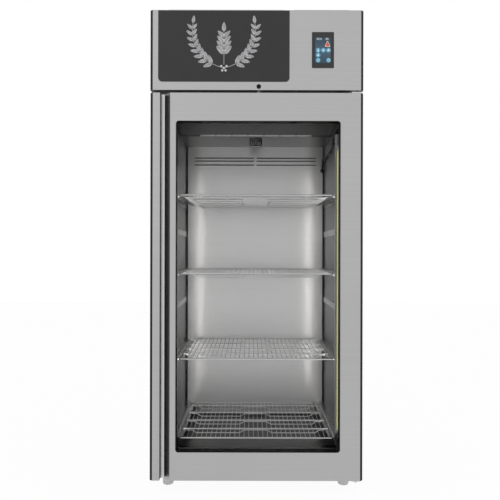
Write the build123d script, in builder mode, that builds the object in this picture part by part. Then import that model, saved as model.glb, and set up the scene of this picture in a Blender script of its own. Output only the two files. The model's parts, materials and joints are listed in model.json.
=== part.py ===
from build123d import *
import math
import os

# A dry aging cabinet: an insulated upright body with a glazed door on the right-hand hinges,
# four welded wire shelves on side runners, and a refrigeration unit behind a fascia on top.
# Millimetres. X points right, Y points back and Z points up, from the footprint's centre.
# A depth named p is counted back from the plane of the door's face.

# Overall sizes
width = 900.0
depth = 730.0
foot_height = 62.0
door_lift = 3.0
door_height = 1634.0
fascia_gap = 12.0
fascia_height = 337.0
cover_height = 32.0

# Clearances and one overrun for every cut
running_fit = 0.05
seat_gap = 0.3
overrun = 5.0

# Insulated body and its liner
side_wall = 81.0
rear_wall_thickness = 60.0
floor_thickness = 88.0
deck_rise = 26.0
ceiling_thickness = 75.0
panel_edge_radius = 3.0
liner_sheet = 1.0
liner_corner = 8.0

# Door leaf, glass unit and seal
door_thickness = 60.0
door_side_gap = 1.0
edge_bevel_width = 10.9
edge_bevel_depth = 8.0
stile_left = 108.4
stile_right = 95.6
rail_bottom = 119.0
rail_top = 118.0
window_corner = 12.0
trim_wall = 2.5
trim_setback = 0.6
pane_thickness = 4.0
pane_lap = 12.0
spacer_thickness = 12.0
spacer_width = 10.0
door_liner_sheet = 2.0
gasket_depth = 9.7
gasket_foot = 4.0
gasket_width = 32.0
gasket_lip_width = 22.0
gasket_inset_side = 36.7
gasket_inset_top = 9.0
gasket_inset_bottom = 35.0
gasket_corner = 10.0

# Full-height finger groove in the door's free edge
grip_bar_width = 30.2
grip_depth = 28.0
grip_floor_width = 15.9
grip_slope_width = 27.3

# Door hinges
hinge_inset = 26.3
hinge_setback = 28.0
hinge_pin_radius = 6.0
hinge_pin_reach = 20.0
bush_wall = 4.0
bush_flange_radius = 13.0
lower_plate = 5.0
lower_plate_half_width = 22.0
lower_plate_tail = 26.0
lower_pin_head = 8.0
lower_pin_head_radius = 8.0
upper_plate = 8.0
upper_plate_width = 70.0
upper_plate_corner = 28.0
upper_flange = 5.0
hinge_front_margin = 14.0

# Levelling feet
foot_radius = 24.0
foot_wall_margin = 19.0
foot_front_setback = 124.0
foot_neck_height = 9.0
foot_neck_radius = 15.0
foot_sole_round = 8.0
foot_thread_radius = 6.0
foot_thread_reach = 35.0

# Fascia with its graphic plate, control panel and lock
panel_proud = 2.0
fascia_depth = 60.0
fascia_sheet = 1.5
fascia_bevel_width = 11.0
fascia_bevel_depth = 8.0
plate_left_margin = 34.0
plate_display_gap = 94.1
plate_top_margin = 2.5
plate_height = 299.5
plate_corner = 17.0
display_right_margin = 125.6
display_width = 92.8
display_height = 151.0
display_bottom_margin = 93.4
display_corner = 3.0
display_body_margin = 4.0
display_body_depth = 16.0
screen_width = 66.0
screen_height = 107.0
screen_recess = 1.0
screen_bottom_margin = 21.0
lock_offset = 8.0
lock_rise = 15.0
lock_face_radius = 9.5
lock_barrel_radius = 8.0
lock_barrel_length = 22.0
key_slot_width = 2.0
key_slot_length = 11.0
crank_thickness = 3.0
crank_radius = 7.0
crank_pin_radius = 2.0
bolt_thickness = 4.0
bolt_width = 22.0
bolt_height = 21.0
tongue_width = 13.0
tongue_tip_gap = 1.3
bolt_clearance = 0.4
bolt_pocket_depth = 10.0
bolt_pocket_side_gap = 2.5
lock_case_wall = 3.5

# Machine compartment casings
casing_sheet = 2.0
rear_grille_recess = 12.0
louvre_length = 150.0
louvre_height = 7.0
louvre_pitch = 18.0
louvre_rows = 11
cover_setback = 66.0
cover_rear_margin = 62.0
cover_left_margin = 62.0
cover_right_margin = 44.0
cover_between = 31.0
cover_right_width = 249.0
cover_corner = 10.0
cover_wall = 4.0

# Refrigeration unit
equipment_bay = 230.0
evaporator_rear_gap = 59.0
evaporator_opening_depth = 180.0
housing_wall = 30.0
housing_height = 210.0
coil_depth = 60.0
fin_thickness = 1.5
fin_proud = 2.0
fin_pitch = 15.0
condenser_side_gap = 20.0
condenser_half_width = 100.0
condenser_height = 200.0
condenser_depth = 44.0
condenser_rear_gap = 14.0
fan_radius = 84.0
fan_hub_radius = 22.0
fan_thickness = 18.0
fan_blades = 5
fan_blade_sheet = 1.6
fan_blade_pitch = 28.0
fan_blade_chord_share = 0.9
fan_tip_gap = 4.0
motor_radius = 27.0
motor_length = 40.0
shaft_radius = 3.0
shroud_sheet = 2.0
shroud_ring_wall = 2.0
spoke_width = 10.0
compressor_radius = 78.0
compressor_height = 178.0
compressor_dome = 34.0
dome_shares = (0.0, 0.42, 0.78, 1.0)
weld_band = 6.0
weld_proud = 2.5
compressor_side_gap = 25.0
compressor_rear_gap = 158.0
compressor_plate_width = 190.0
compressor_plate_depth = 150.0
compressor_plate_sheet = 4.0
rubber_mount_radius = 11.0
rubber_mount_height = 12.0
pipe_radius = 4.0
pipe_sides = 8
pipe_bend = 24.0
control_box_width = 190.0
control_box_depth = 90.0
control_box_height = 200.0
control_box_radius = 4.0
control_box_front_gap = 16.0
gland_radius = 11.0
gland_flange_radius = 15.0
gland_flange = 4.0
gland_bore = 4.0

# Air tray under the ceiling and duct panel on the rear wall
tray_sheet = 1.5
tray_drop = 61.0
tray_lip = 10.0
tray_lip_lead = 76.0
tray_slope_length = 158.0
tray_slots = 7
tray_slot_margin = 87.0
tray_slot_bridge = 5.0
tray_slot_height = 6.0
duct_depth = 54.0
duct_sheet = 1.5
duct_floor_gap = 14.0
duct_slot_margin = 35.0
duct_slot_bridge = 14.0
duct_slot_height = 6.0
duct_slot_drops = (60.0, 76.0, 97.0)
return_slot_depth = 36.0
guard_width = 62.0
guard_depth = 46.0
guard_height = 38.0
guard_wall = 2.5
guard_slots = 5
guard_slot_pitch = 11.0
guard_slot_width = 7.0
guard_slot_margin = 6.0
guard_lead = 20.0
probe_radius = 4.0
probe_length = 28.0

# Lamp bars in the two front corners and the lamp's lead
lamp_width = 25.0
lamp_depth = 22.0
lamp_setback = 76.0
lamp_foot_gap = 90.0
lamp_head_gap = 108.0
lamp_edge = 4.0
strip_width = 9.0
strip_depth = 2.0
strip_inset = 8.0
strip_foot_gap = 15.0
strip_head_gap = 68.0
lead_radius = 4.0
lead_plug_radius = 6.5
lead_plug_length = 34.0
lead_tail_run = 42.0
bend_share = 0.45
grommet_radius = 10.0
grommet_flange = 3.0

# Shelf positions, runners and wire shelves
shelf_low = 68.0
support_positions = 47
support_head = 26.8
shelf_slots = (0, 12, 25, 37)
spare_slots = (20, 32)
runner_sheet = 1.5
runner_front = 104.0
runner_rear_gap = 15.0
runner_flange_rise = 6.0
runner_flange_width = 22.5
runner_ledge_width = 26.0
runner_web = 27.0
spare_rail_thickness = 3.0
shelf_side_gap = 38.0
shelf_front = 80.0
shelf_rear_gap = 5.0
long_wire_radius = 1.5
long_wire_count = 32
long_wire_edge = 9.15
weld_depth = 0.5
cross_wire_radius = 4.0
rear_truss_gap = 43.0
cross_wire_count = 5
brace_section = 5.0
brace_drop = 15.0
brace_end_gap = 8.0
brace_end_flat = 26.0
brace_bend_run = 19.0
brace_centre_half = 54.0
wire_sides = 6

# Levels and planes that follow from the sizes above
half_width = width / 2
chamber_half = half_width - side_wall
liner_half = chamber_half - liner_sheet
body_z = foot_height
door_z = body_z + door_lift
door_top = door_z + door_height
fascia_z = door_top + fascia_gap
fascia_top = fascia_z + fascia_height
cover_top = fascia_top + cover_height
floor_z = body_z + floor_thickness
liner_floor = floor_z + liner_sheet
deck_z = door_top + deck_rise
chamber_top = deck_z - ceiling_thickness
chamber_height = chamber_top - floor_z
liner_ceiling = chamber_top - liner_sheet
body_p = door_thickness + gasket_depth + seat_gap
rear_p = depth - rear_wall_thickness
liner_back = rear_p - liner_sheet
duct_setback = liner_back - duct_depth


def level(p):
    """Y of a plane that lies p behind the door's face."""
    return p - depth / 2


def facing(p, z=0):
    """Plane parallel to the door's face, p behind it, drawn as X across and height above z up."""
    return Plane(origin=(0, level(p), z), x_dir=(1, 0, 0), z_dir=(0, -1, 0))


def slab(x0, x1, p0, p1, z0, z1, mode=Mode.ADD):
    """Rectangular block between two corners."""
    with Locations(((x0 + x1) / 2, level((p0 + p1) / 2), (z0 + z1) / 2)):
        Box(x1 - x0, p1 - p0, z1 - z0, mode=mode)


def rod(x, p, z0, z1, radius, mode=Mode.ADD):
    """Upright round bar or bore."""
    with Locations((x, level(p), (z0 + z1) / 2)):
        Cylinder(radius, z1 - z0, mode=mode)


def peg(x, p0, p1, z, radius, mode=Mode.ADD):
    """Round bar or bore that runs from front to back."""
    with Locations((x, level((p0 + p1) / 2), z)):
        Cylinder(radius, p1 - p0, rotation=(90, 0, 0), mode=mode)


def save(piece, name):
    """Label one finished piece and write its STEP file."""
    piece.label = name
    export_step(piece, f"parts/{name}.step")


os.makedirs("parts", exist_ok=True)


# Insulated body: steel-skinned foam panels round the chamber
foot_x = chamber_half + foot_wall_margin
foot_rear_setback = depth - foot_front_setback
foot_bore = foot_thread_radius + running_fit


def side_panel():
    """Right-hand insulated wall with the two threaded sockets for its feet."""
    with BuildPart() as panel:
        slab(chamber_half, half_width, body_p, depth, body_z, deck_z)
        outer = panel.faces().sort_by(Axis.X)[-1]
        fillet(outer.edges().filter_by(Axis.Z), radius=panel_edge_radius)
        for setback in (foot_front_setback, foot_rear_setback):
            socket_top = body_z + foot_thread_reach + seat_gap
            rod(foot_x, setback, body_z - overrun, socket_top, foot_bore, Mode.SUBTRACT)
    return panel.part


right_wall = side_panel()
save(right_wall, "right_wall")

with BuildPart() as left_wall:
    mirror(right_wall, about=Plane.YZ)
save(left_wall.part, "left_wall")

with BuildPart() as rear_wall:
    slab(-chamber_half, chamber_half, rear_p, depth, body_z, deck_z)
save(rear_wall.part, "rear_wall")

with BuildPart() as base:
    slab(-chamber_half, chamber_half, body_p, rear_p, body_z, floor_z)
save(base.part, "base")

evaporator_half_width = half_width - equipment_bay - housing_wall
evaporator_rear = liner_back - evaporator_rear_gap
evaporator_front = evaporator_rear - evaporator_opening_depth
with BuildPart() as ceiling:
    slab(-chamber_half, chamber_half, body_p, rear_p, chamber_top, deck_z)
    slab(-evaporator_half_width, evaporator_half_width, evaporator_front, evaporator_rear,
         chamber_top - overrun, deck_z + overrun, Mode.SUBTRACT)
save(ceiling.part, "ceiling")

# Pressed liner with coved corners, open to the door and to the evaporator above
with BuildPart() as liner:
    with BuildSketch(facing(body_p)):
        with Locations((0, floor_z + chamber_height / 2)):
            RectangleRounded(2 * chamber_half, chamber_height, liner_corner)
    extrude(amount=body_p - rear_p)
    fillet(liner.faces().sort_by(Axis.Y)[-1].edges(), radius=liner_corner)
    offset(amount=-liner_sheet, openings=liner.faces().sort_by(Axis.Y)[0])
    slab(-evaporator_half_width, evaporator_half_width, evaporator_front, evaporator_rear,
         chamber_top - liner_sheet - overrun, chamber_top + overrun, Mode.SUBTRACT)
save(liner.part, "liner")


# Levelling feet: round boot, neck and a stem that screws up into the wall
def levelling_foot(x, setback):
    """One foot under a side wall."""
    axis_plane = Plane(origin=(x, level(setback), 0), x_dir=(1, 0, 0), z_dir=(0, -1, 0))
    neck_z = foot_height - foot_neck_height
    with BuildPart() as foot:
        with BuildSketch(axis_plane):
            with BuildLine():
                Polyline((0, 0), (foot_radius - foot_sole_round, 0),
                         (foot_radius - foot_sole_round / 4, foot_sole_round / 3),
                         (foot_radius, foot_sole_round), (foot_radius, neck_z),
                         (foot_neck_radius, foot_height), (foot_thread_radius, foot_height),
                         (foot_thread_radius, foot_height + foot_thread_reach),
                         (0, foot_height + foot_thread_reach), (0, 0))
            make_face()
        revolve(axis=Axis((x, level(setback), 0), (0, 0, 1)))
    return foot.part


for end_name, setback in (("front", foot_front_setback), ("rear", foot_rear_setback)):
    with BuildPart() as feet:
        add(levelling_foot(-foot_x, setback))
        add(levelling_foot(foot_x, setback))
    save(feet.part, f"feet_{end_name}")


# Door leaf: a folded steel frame with a bevelled outline, a finger groove and a window
door_half = half_width - door_side_gap
frame_depth = door_thickness - door_liner_sheet
reveal_depth = frame_depth - 2 * pane_thickness - spacer_thickness
flat_left = edge_bevel_width - door_half
groove_wall = flat_left + grip_bar_width
groove_floor_end = groove_wall + grip_floor_width
groove_end = groove_floor_end + grip_slope_width
window_left = stile_left - door_half
window_right = door_half - stile_right
window_bottom = door_z + rail_bottom
window_top = door_top - rail_top
window_width = window_right - window_left
window_height = window_top - window_bottom
window_x = (window_left + window_right) / 2
window_z = (window_bottom + window_top) / 2
hinge_x = half_width - hinge_inset
bush_radius = hinge_pin_radius + running_fit + bush_wall
bolt_front = panel_proud + lock_barrel_length + crank_thickness + bolt_clearance
bolt_back = bolt_front + bolt_thickness

with BuildPart() as door_frame:
    with BuildSketch(Plane.XY.offset(door_z)):
        with BuildLine():
            Polyline((-door_half, level(frame_depth)), (-door_half, level(edge_bevel_depth)),
                     (flat_left, level(0)), (groove_wall, level(0)),
                     (groove_wall, level(grip_depth)), (groove_floor_end, level(grip_depth)),
                     (groove_end, level(0)), (-flat_left, level(0)),
                     (door_half, level(edge_bevel_depth)), (door_half, level(frame_depth)),
                     close=True)
        make_face()
    extrude(amount=door_height)
    with BuildSketch(facing(-overrun)):
        with Locations((window_x, window_z)):
            RectangleRounded(window_width, window_height, window_corner)
    extrude(amount=-(door_thickness + 2 * overrun), mode=Mode.SUBTRACT)
    slab(window_left - pane_lap, window_right + pane_lap, reveal_depth, door_thickness,
         window_bottom - pane_lap, window_top + pane_lap, Mode.SUBTRACT)
    rod(hinge_x, hinge_setback, door_z - overrun, door_z + hinge_pin_reach + seat_gap,
        bush_radius, Mode.SUBTRACT)
    rod(hinge_x, hinge_setback, door_top - hinge_pin_reach - seat_gap, door_top + overrun,
        bush_radius, Mode.SUBTRACT)
    slab(lock_offset - tongue_width / 2 - bolt_pocket_side_gap,
         lock_offset + tongue_width / 2 + bolt_pocket_side_gap,
         bolt_front - 2 * bolt_clearance, bolt_back + 2 * bolt_clearance,
         door_top - bolt_pocket_depth, door_top + overrun, Mode.SUBTRACT)
save(door_frame.part, "door_frame")

# Black lining of the window's reveal
with BuildPart() as window_trim:
    with BuildSketch(facing(trim_setback)):
        with Locations((window_x, window_z)):
            RectangleRounded(window_width, window_height, window_corner)
            RectangleRounded(window_width - 2 * trim_wall, window_height - 2 * trim_wall,
                             window_corner - trim_wall, mode=Mode.SUBTRACT)
    extrude(amount=trim_setback - reveal_depth)
save(window_trim.part, "window_trim")


# Sealed glass unit: two panes on a spacer
def pane(front):
    """One flat pane in the door's rebate."""
    with BuildPart() as glass:
        slab(window_left - pane_lap + seat_gap, window_right + pane_lap - seat_gap, front,
             front + pane_thickness, window_bottom - pane_lap + seat_gap,
             window_top + pane_lap - seat_gap)
    return glass.part


spacer_front = reveal_depth + pane_thickness
inner_pane_front = spacer_front + spacer_thickness
save(pane(reveal_depth), "glass_outer")
save(pane(inner_pane_front), "glass_inner")

with BuildPart() as glass_spacer:
    outer_x = window_left - pane_lap + seat_gap
    outer_z = window_bottom - pane_lap + seat_gap
    slab(outer_x, 2 * window_x - outer_x, spacer_front, inner_pane_front,
         outer_z, 2 * window_z - outer_z)
    slab(outer_x + spacer_width, 2 * window_x - outer_x - spacer_width,
         spacer_front - overrun, inner_pane_front + overrun,
         outer_z + spacer_width, 2 * window_z - outer_z - spacer_width, Mode.SUBTRACT)
save(glass_spacer.part, "glass_spacer")

# Inner face of the door, which traps the glass unit
with BuildPart() as door_liner:
    with BuildSketch(facing(frame_depth)):
        with Locations((0, door_z + door_height / 2)):
            Rectangle(2 * door_half, door_height)
        with Locations((window_x, window_z)):
            RectangleRounded(window_width, window_height, window_corner, mode=Mode.SUBTRACT)
    extrude(amount=-door_liner_sheet)
save(door_liner.part, "door_liner")

# Magnetic door seal: a wide foot and a narrower lip that meets the body
seal_half = door_half - gasket_inset_side
seal_bottom = door_z + gasket_inset_bottom
seal_top = door_top - gasket_inset_top
seal_z = (seal_bottom + seal_top) / 2
seal_height = seal_top - seal_bottom
lip_inset = (gasket_width - gasket_lip_width) / 2
with BuildPart() as door_gasket:
    for ring_inset, ring_width, ring_front, ring_back in (
            (0, gasket_width, door_thickness, door_thickness + gasket_foot),
            (lip_inset, gasket_lip_width, door_thickness + gasket_foot,
             door_thickness + gasket_depth)):
        with BuildSketch(facing(ring_front)):
            with Locations((0, seal_z)):
                RectangleRounded(2 * (seal_half - ring_inset),
                                 seal_height - 2 * ring_inset, gasket_corner)
                Rectangle(2 * (seal_half - ring_inset - ring_width),
                          seal_height - 2 * (ring_inset + ring_width), mode=Mode.SUBTRACT)
        extrude(amount=ring_front - ring_back)
save(door_gasket.part, "door_gasket")

# Lower hinge: a plate bolted under the body, a headed pin and a flanged bush
lower_plate_z = body_z - lower_plate
with BuildPart() as hinge_bracket_lower:
    slab(hinge_x - lower_plate_half_width, hinge_x + lower_plate_half_width,
         hinge_front_margin, body_p + lower_plate_tail, lower_plate_z, body_z)
    nose = hinge_bracket_lower.faces().sort_by(Axis.Y)[0]
    fillet(nose.edges().filter_by(Axis.Z), radius=hinge_front_margin / 2)
    rod(hinge_x, hinge_setback, lower_plate_z - overrun, body_z + overrun,
        hinge_pin_radius + running_fit, Mode.SUBTRACT)
save(hinge_bracket_lower.part, "hinge_bracket_lower")

with BuildPart() as hinge_bush_lower:
    rod(hinge_x, hinge_setback, body_z + seat_gap, door_z, bush_flange_radius)
    rod(hinge_x, hinge_setback, door_z, door_z + hinge_pin_reach, bush_radius - running_fit)
    rod(hinge_x, hinge_setback, body_z - overrun, door_z + hinge_pin_reach + overrun,
        hinge_pin_radius + running_fit, Mode.SUBTRACT)

# Upper hinge: an angle plate in the gap over the door, its pin and its bush
upper_plate_z = door_top + (fascia_gap - upper_plate) / 2
with BuildPart() as hinge_bracket_upper:
    slab(hinge_x + lower_plate_half_width - upper_plate_width, hinge_x + lower_plate_half_width,
         hinge_front_margin, body_p, upper_plate_z, upper_plate_z + upper_plate)
    nose = hinge_bracket_upper.faces().sort_by(Axis.Y)[0]
    inner_edge, outer_edge = nose.edges().filter_by(Axis.Z).sort_by(Axis.X)
    fillet(outer_edge, radius=hinge_front_margin / 2)
    chamfer(inner_edge, length=upper_plate_corner)
    slab(hinge_x + lower_plate_half_width - upper_plate_width, hinge_x + lower_plate_half_width,
         body_p - upper_flange, body_p, upper_plate_z + upper_plate, deck_z)
    rod(hinge_x, hinge_setback, upper_plate_z - overrun, upper_plate_z + upper_plate + overrun,
        hinge_pin_radius + running_fit, Mode.SUBTRACT)
save(hinge_bracket_upper.part, "hinge_bracket_upper")

with BuildPart() as hinge_pins:
    rod(hinge_x, hinge_setback, lower_plate_z - lower_pin_head, lower_plate_z,
        lower_pin_head_radius)
    chamfer(hinge_pins.edges().sort_by(Axis.Z)[0], length=hinge_pin_radius / 3)
    rod(hinge_x, hinge_setback, lower_plate_z, door_z + hinge_pin_reach, hinge_pin_radius)
    rod(hinge_x, hinge_setback, door_top - hinge_pin_reach, upper_plate_z + upper_plate,
        hinge_pin_radius)
save(hinge_pins.part, "hinge_pins")

with BuildPart() as hinge_bush_upper:
    rod(hinge_x, hinge_setback, door_top - hinge_pin_reach, door_top, bush_radius - running_fit)
    rod(hinge_x, hinge_setback, door_top - hinge_pin_reach - overrun, door_top + overrun,
        hinge_pin_radius + running_fit, Mode.SUBTRACT)

with BuildPart() as hinge_bushes:
    add(hinge_bush_lower.part)
    add(hinge_bush_upper.part)
save(hinge_bushes.part, "hinge_bushes")

# Fascia: a deep folded pan with bevelled ends, cut out for the control panel and the lock
display_x1 = half_width - display_right_margin
display_x0 = display_x1 - display_width
display_z0 = fascia_z + display_bottom_margin
display_z1 = display_z0 + display_height
display_x = (display_x0 + display_x1) / 2
display_z = (display_z0 + display_z1) / 2
lock_z = fascia_z + lock_rise
barrel_bore = lock_barrel_radius + running_fit
fascia_back = panel_proud + fascia_depth
bolt_x0 = lock_offset - bolt_width / 2 + crank_radius / 2
bolt_x1 = bolt_x0 + bolt_width
bolt_z0 = fascia_z + fascia_sheet + crank_radius + bolt_clearance

with BuildPart() as fascia:
    with BuildSketch(Plane.XY.offset(fascia_z)):
        with BuildLine():
            Polyline((-half_width, level(fascia_back)),
                     (-half_width, level(panel_proud + fascia_bevel_depth)),
                     (fascia_bevel_width - half_width, level(panel_proud)),
                     (half_width - fascia_bevel_width, level(panel_proud)),
                     (half_width, level(panel_proud + fascia_bevel_depth)),
                     (half_width, level(fascia_back)), close=True)
        make_face()
    extrude(amount=fascia_height)
    offset(amount=-fascia_sheet, openings=fascia.faces().sort_by(Axis.Y)[-1])
    slab(display_x0 + display_body_margin - seat_gap, display_x1 - display_body_margin + seat_gap,
         0, panel_proud + fascia_sheet + overrun,
         display_z0 + display_body_margin - seat_gap, display_z1 - display_body_margin + seat_gap,
         Mode.SUBTRACT)
    peg(lock_offset, 0, panel_proud + fascia_sheet + overrun, lock_z, barrel_bore, Mode.SUBTRACT)
    slab(lock_offset - tongue_width / 2 - bolt_clearance,
         lock_offset + tongue_width / 2 + bolt_clearance,
         bolt_front - bolt_clearance, bolt_back + bolt_clearance,
         fascia_z - overrun, fascia_z + fascia_sheet + overrun, Mode.SUBTRACT)
save(fascia.part, "fascia")

plate_x0 = plate_left_margin - half_width
plate_width = display_x0 - plate_display_gap - plate_x0
plate_top = fascia_top - plate_top_margin
with BuildPart() as graphic_plate:
    with BuildSketch(facing(0)) as plate_outline:
        with Locations((plate_x0 + plate_width / 2, plate_top - plate_height / 2)):
            Rectangle(plate_width, plate_height)
        fillet(plate_outline.vertices().group_by(Axis.Y)[0], radius=plate_corner)
    extrude(amount=-panel_proud)
save(graphic_plate.part, "graphic_plate")

# Control panel: a moulded bezel with the touch glass set into it
screen_z = display_z0 + screen_bottom_margin + screen_height / 2
with BuildPart() as display_bezel:
    with BuildSketch(facing(0)):
        with Locations((display_x, display_z)):
            RectangleRounded(display_width, display_height, display_corner)
    extrude(amount=-panel_proud)
    slab(display_x0 + display_body_margin, display_x1 - display_body_margin,
         panel_proud, panel_proud + display_body_depth,
         display_z0 + display_body_margin, display_z1 - display_body_margin)
    slab(display_x - screen_width / 2, display_x + screen_width / 2, -overrun, screen_recess,
         screen_z - screen_height / 2, screen_z + screen_height / 2, Mode.SUBTRACT)
save(display_bezel.part, "display_bezel")

with BuildPart() as display_screen:
    slab(display_x - screen_width / 2, display_x + screen_width / 2, screen_recess / 3,
         screen_recess, screen_z - screen_height / 2, screen_z + screen_height / 2)
save(display_screen.part, "display_screen")

# Key lock: the barrel's crank pin drives a flat bolt down into the door's top edge
barrel_back = panel_proud + lock_barrel_length
with BuildPart() as lock_barrel:
    peg(lock_offset, 0, panel_proud, lock_z, lock_face_radius)
    peg(lock_offset, panel_proud, barrel_back, lock_z, lock_barrel_radius)
    slab(lock_offset - key_slot_width / 2, lock_offset + key_slot_width / 2, -overrun,
         panel_proud / 2, lock_z - key_slot_length / 2, lock_z + key_slot_length / 2,
         Mode.SUBTRACT)
    peg(lock_offset, barrel_back, barrel_back + crank_thickness, lock_z, lock_barrel_radius)
    peg(lock_offset + crank_radius - crank_pin_radius, barrel_back + crank_thickness,
        bolt_back, lock_z, crank_pin_radius)
save(lock_barrel.part, "lock_barrel")

crank_throw = crank_radius - crank_pin_radius
pin_slack = crank_throw / 4
with BuildPart() as lock_bolt:
    slab(bolt_x0, bolt_x1, bolt_front, bolt_back, bolt_z0, bolt_z0 + bolt_height)
    slab(lock_offset - tongue_width / 2, lock_offset + tongue_width / 2, bolt_front, bolt_back,
         door_top + tongue_tip_gap, bolt_z0)
    slab(lock_offset - crank_pin_radius - bolt_clearance,
         lock_offset + crank_radius + bolt_clearance,
         bolt_front - overrun, bolt_back + overrun,
         lock_z - crank_pin_radius - pin_slack - bolt_clearance,
         lock_z + crank_pin_radius + bolt_clearance, Mode.SUBTRACT)
save(lock_bolt.part, "lock_bolt")

case_x0 = bolt_x0 - bolt_clearance - lock_case_wall
case_x1 = bolt_x1 + bolt_clearance + lock_case_wall
case_z0 = fascia_z + fascia_sheet
case_top = bolt_z0 + bolt_height + bolt_clearance
case_front = bolt_front - crank_thickness - 2 * lock_case_wall
with BuildPart() as lock_case:
    slab(case_x0, case_x1, case_front, bolt_back + bolt_clearance + lock_case_wall, case_z0,
         case_top + lock_case_wall)
    slab(bolt_x0 - bolt_clearance, bolt_x1 + bolt_clearance, bolt_front - bolt_clearance,
         bolt_back + bolt_clearance, case_z0 - overrun, case_top, Mode.SUBTRACT)
    peg(lock_offset, case_front - overrun, bolt_front, lock_z, barrel_bore, Mode.SUBTRACT)
save(lock_case.part, "lock_case")

# Machine compartment: side casings, louvred rear panel, top sheet and two low covers
with BuildPart() as casing_right:
    slab(half_width - casing_sheet, half_width, fascia_back, depth, deck_z, fascia_top)
save(casing_right.part, "casing_right")

with BuildPart() as casing_left:
    mirror(casing_right.part, about=Plane.YZ)
save(casing_left.part, "casing_left")

casing_inner = half_width - casing_sheet
top_sheet_z = fascia_top - casing_sheet
grille_back = depth - rear_grille_recess
condenser_centre = half_width - condenser_side_gap - condenser_half_width
gland_x = side_wall - half_width
gland_z = deck_z + 2 * gland_flange_radius
with BuildPart() as rear_grille:
    slab(-casing_inner, casing_inner, grille_back - casing_sheet, grille_back, deck_z,
         top_sheet_z)
    with BuildSketch(facing(grille_back + overrun)):
        for bank_x in (-condenser_centre, 0, condenser_centre):
            with Locations((bank_x, (deck_z + top_sheet_z) / 2)):
                with GridLocations(louvre_length, louvre_pitch, 1, louvre_rows):
                    Rectangle(louvre_length, louvre_height)
    extrude(amount=casing_sheet + 2 * overrun, mode=Mode.SUBTRACT)
    peg(gland_x, grille_back - casing_sheet - overrun, grille_back + overrun, gland_z,
        gland_radius + running_fit, Mode.SUBTRACT)
save(rear_grille.part, "rear_grille")

with BuildPart() as top_sheet:
    slab(-casing_inner, casing_inner, fascia_back, grille_back, top_sheet_z, fascia_top)
save(top_sheet.part, "top_sheet")


cover_back = grille_back - cover_rear_margin


def low_cover(x0, cover_width):
    """Shallow pressed hood with rounded edges, open below."""
    with BuildPart() as cover:
        slab(x0, x0 + cover_width, cover_setback, cover_back, fascia_top, cover_top)
        fillet(cover.edges().filter_by(Axis.Z), radius=cover_corner)
        chamfer(cover.faces().sort_by(Axis.Z)[-1].edges(), length=cover_corner / 2)
        slab(x0 + cover_wall, x0 + cover_width - cover_wall, cover_setback + cover_wall,
             cover_back - cover_wall, fascia_top - overrun, cover_top - cover_wall,
             Mode.SUBTRACT)
    return cover.part


cover_left_x = cover_left_margin - half_width
cover_right_x = half_width - cover_right_margin - cover_right_width
save(low_cover(cover_left_x, cover_right_x - cover_between - cover_left_x), "cover_left")
save(low_cover(cover_right_x, cover_right_width), "cover_right")


# Axial fans: a hub with pitched blades, a can motor and a shroud whose two bars carry the motor
ring_radius = fan_radius + fan_tip_gap
ring_outer = ring_radius + shroud_ring_wall
blade_chord = fan_blade_chord_share * fan_thickness / math.sin(math.radians(fan_blade_pitch))
bars_back_offset = shroud_sheet + fan_thickness + 2 * fan_tip_gap
bars_front_offset = bars_back_offset + shroud_sheet


def fan_wheel(x, plate_back, z):
    """Wheel that turns about a front-to-back axis in front of a shroud plate."""
    middle = plate_back - shroud_sheet - fan_tip_gap - fan_thickness / 2
    wheel_plane = Plane(origin=(x, level(middle), z), x_dir=(1, 0, 0), z_dir=(0, -1, 0))
    blade_reach = fan_radius - fan_hub_radius / 2
    with BuildPart(wheel_plane) as wheel:
        Cylinder(fan_hub_radius, fan_thickness)
        with PolarLocations((fan_radius + fan_hub_radius / 2) / 2, fan_blades):
            Box(blade_reach, blade_chord, fan_blade_sheet, rotation=(fan_blade_pitch, 0, 0))
        Cylinder(shaft_radius + running_fit, fan_thickness, mode=Mode.SUBTRACT)
    return wheel.part


def fan_motor(x, plate_back, z):
    """Can motor in front of the bars, whose shaft reaches back through the wheel."""
    can_back = plate_back - bars_front_offset
    with BuildPart() as motor:
        peg(x, can_back - motor_length, can_back, z, motor_radius)
        chamfer(motor.edges().group_by(Axis.Y)[0], length=motor_radius / 4)
        peg(x, can_back, plate_back - shroud_sheet - fan_tip_gap, z, shaft_radius)
    return motor.part


def fan_shroud(x0, x1, plate_back, z0, z1, z):
    """Plate with a ring round the wheel and two bars across the ring's mouth."""
    x = (x0 + x1) / 2
    ring_front = plate_back - bars_back_offset
    with BuildPart() as shroud:
        slab(x0, x1, plate_back - shroud_sheet, plate_back, z0, z1)
        peg(x, ring_front, plate_back - shroud_sheet, z, ring_outer)
        peg(x, ring_front - overrun, plate_back + overrun, z, ring_radius, Mode.SUBTRACT)
        for bar_z in (z - motor_radius / 2, z + motor_radius / 2):
            slab(x - ring_radius, x + ring_radius, plate_back - bars_front_offset, ring_front,
                 bar_z - spoke_width / 2, bar_z + spoke_width / 2)
    return shroud.part


def finned_coil(x0, x1, p0, p1, z0, z1):
    """Finned block: a core with end plates and a row of thin fins standing proud."""
    fin_count = int((x1 - x0 - 2 * fin_pitch) / fin_pitch)
    with BuildPart() as coil:
        slab(x0, x1, p0 + fin_proud, p1 - fin_proud, z0 + fin_proud, z1 - fin_proud)
        for plate_x in (x0, x1 - fin_thickness):
            slab(plate_x, plate_x + fin_thickness, p0, p1, z0, z1)
        with Locations(((x0 + x1) / 2, level((p0 + p1) / 2), (z0 + z1) / 2)):
            with GridLocations(fin_pitch, 0, fin_count, 1):
                Box(fin_thickness, p1 - p0, z1 - z0 - fin_proud)
    return coil.part


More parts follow.
